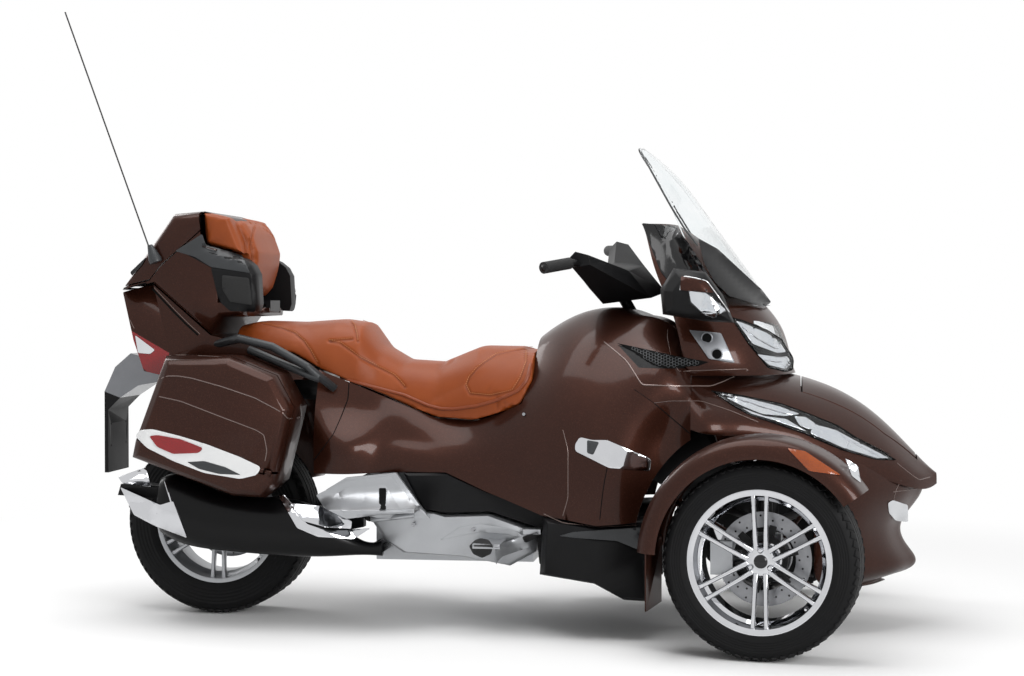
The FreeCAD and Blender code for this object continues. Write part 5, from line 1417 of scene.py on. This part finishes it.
class Studio:
    """Camera, white room, pale floor and soft lights."""

    LAMPS = (("key", (4.4, -4.6, 2.4), 2.4, 230.0), ("top", (-0.3, -0.4, 4.6), 3.8, 150.0),
             ("back", (-4.2, 2.8, 3.0), 2.6, 110.0))
    AIM = Vector((0.0, 0.0, 0.6))
    SKY = 0.48
    WHITE = (1.0, 1.0, 1.0, 1.0)
    PALE = (0.86, 0.86, 0.86, 1.0)
    FLOOR, FLOOR_ROUGH, FLOOR_SHINE = 60.0, 0.85, 0.1
    FADE = (1.7, 3.6)

    def camera(self) -> None:
        """Camera at the photograph's angle."""
        lens = bpy.data.cameras.new("camera")
        lens.lens = SHOT.lens
        eye = linked("camera", lens)
        eye.location = SHOT.place
        eye.rotation_euler = SHOT.look.to_track_quat("-Z", "Y").to_euler()
        bpy.context.scene.camera = eye

    def floor(self) -> None:
        """Pale floor that keeps the shadow near the vehicle and runs out into white."""
        form = bmesh.new()
        bmesh.ops.create_grid(form, x_segments=8, y_segments=8, size=self.FLOOR)
        mesh = bpy.data.meshes.new("floor")
        form.to_mesh(mesh)
        form.free()
        floor = linked("floor", mesh)
        pale = bpy.data.materials.new("studio_floor")
        pale.use_nodes = True
        tree = pale.node_tree
        shader = tree.nodes["Principled BSDF"]
        shader.inputs["Roughness"].default_value = self.FLOOR_ROUGH
        shader.inputs["Specular IOR Level"].default_value = self.FLOOR_SHINE
        shader.inputs["Base Color"].default_value = self.PALE
        place = add_node(pale, "ShaderNodeTexCoord").outputs["Object"]
        reach = add_node(pale, "ShaderNodeVectorMath", operation="LENGTH", I0=place).outputs["Value"]
        far = add_node(pale, "ShaderNodeMapRange", Value=reach, From_Min=self.FADE[0], From_Max=self.FADE[1],
                       interpolation_type="SMOOTHSTEP")
        both = add_node(pale, "ShaderNodeMath", operation="MULTIPLY", I0=far.outputs["Result"],
                        I1=self.shown(pale))
        white = add_node(pale, "ShaderNodeEmission", Color=self.WHITE, Strength=1.0)
        mixed = add_node(pale, "ShaderNodeMixShader", Fac=both.outputs[0], I1=shader.outputs["BSDF"],
                         I2=white.outputs["Emission"])
        tree.links.new(mixed.outputs["Shader"], tree.nodes["Material Output"].inputs["Surface"])
        mesh.materials.append(pale)

    @staticmethod
    def shown(owner: bpy.types.ID) -> Socket:
        """Tell which rays show the white backdrop.

        Args:
            owner: Material or world whose tree takes the nodes.

        Returns:
            The socket of 1 for rays of the eye, of mirrors and of glass, and 0 for rays that light the vehicle.
        """
        rays = add_node(owner, "ShaderNodeLightPath")
        seen = add_node(owner, "ShaderNodeMath", operation="ADD", I0=rays.outputs["Is Camera Ray"],
                        I1=rays.outputs["Is Glossy Ray"])
        return add_node(owner, "ShaderNodeMath", operation="ADD", use_clamp=True, I0=seen.outputs[0],
                        I1=rays.outputs["Is Transmission Ray"]).outputs[0]

    def room(self) -> None:
        """White backdrop for the eye, mirrors and glass, plain soft light for the rest."""
        world = bpy.data.worlds.new("studio")
        bpy.context.scene.world = world
        world.use_nodes = True
        tree = world.node_tree
        sky = tree.nodes["Background"]
        sky.inputs["Color"].default_value = self.WHITE
        sky.inputs["Strength"].default_value = self.SKY
        white = add_node(world, "ShaderNodeBackground", Color=self.WHITE, Strength=1.0)
        mixed = add_node(world, "ShaderNodeMixShader", Fac=self.shown(world), I1=sky.outputs[0],
                         I2=white.outputs[0])
        tree.links.new(mixed.outputs["Shader"], tree.nodes["World Output"].inputs["Surface"])

    def lamps(self) -> None:
        """Soft area lights."""
        for name, place, size, power in self.LAMPS:
            light = bpy.data.lights.new(name, "AREA")
            light.size = size
            light.energy = power
            lamp = linked(name, light)
            lamp.location = place
            lamp.rotation_euler = (self.AIM - Vector(place)).to_track_quat("-Z", "Y").to_euler()

    def build(self) -> None:
        """Set up the whole stage."""
        self.camera()
        self.floor()
        self.room()
        self.lamps()
        bpy.context.scene.view_settings.view_transform = "Standard"


CAD_LOOKS = (
    (PAINT, ("top_cover", "side_fairings", "middle_panels", "hood_surround", "front_lid", "fascia", "cowl",
             "fender_right", "fender_left", "pannier_right", "pannier_left", "pannier_door_right",
             "pannier_door_left", "top_case", "top_case_lid", "tail")),
    (PLASTIC, ("lower_panels", "front_trunk", "dash_and_grilles", "arm_rests", "handlebar_cover", "mirrors")),
    (CHASSIS, ("frame", "suspension", "swingarm", "handlebar", "antenna")),
    (ENAMEL, ("silencer",)),
    (PEWTER, ("plate_holder",)),
    (SILVER, ("engine", "footrests", "knuckle_right", "knuckle_left")),
    (SCREEN, ("windscreen",)),
    (LENS, ("headlamps",)),
    (RED, ("tail_lamps",)),
    (GRIP, ("grips",)),
    (GREY, ("grab_rails",)),
)
SECOND_LOOKS = {
    "plate_holder": (PLASTIC, (-2.0, -1.0, 0.0), (0.0, 1.0, 0.70)),
    # The lid's arm under the case gets the black steel finish as painted shade: it lies in the shadow under the case.
    "top_case_lid": (CHASSIS, (-0.92, -0.08, 0.9), (-0.6, 0.08, 1.06)),
}
WHEELS = (
    WheelSizes("front_wheel_right", ("front_tyre_right", "front_rim_right"), (0.83686, -0.65316, 0.281), -9.0, -1,
               0.281, 0.165, 0.1518),
    WheelSizes("front_wheel_left", ("front_tyre_left", "front_rim_left"), (0.85814, 0.65316, 0.281), -9.0, 1,
               0.281, 0.165, 0.1518),
    WheelSizes("rear_wheel", ("rear_tyre", "rear_rim"), (-0.9255, 0.0, 0.303), 0.0, -1, 0.303, 0.225, 0.2025,
               finish=SILVER, disc_y=0.052),
)


def main() -> None:
    """Dress the whole vehicle."""
    logging.basicConfig(level=logging.INFO)
    for finish, nodes in CAD_LOOKS:
        for node in nodes:
            made = dressed(node, finish)
            if node in SECOND_LOOKS:
                second_finish(made, *SECOND_LOOKS[node])
    for sizes in WHEELS:
        Wheel(sizes).build()
    for trim in PIECES + LINES:
        trim.build()
    Details().build()
    Seating().build()
    Studio().build()


if __name__ == "__main__":
    main()
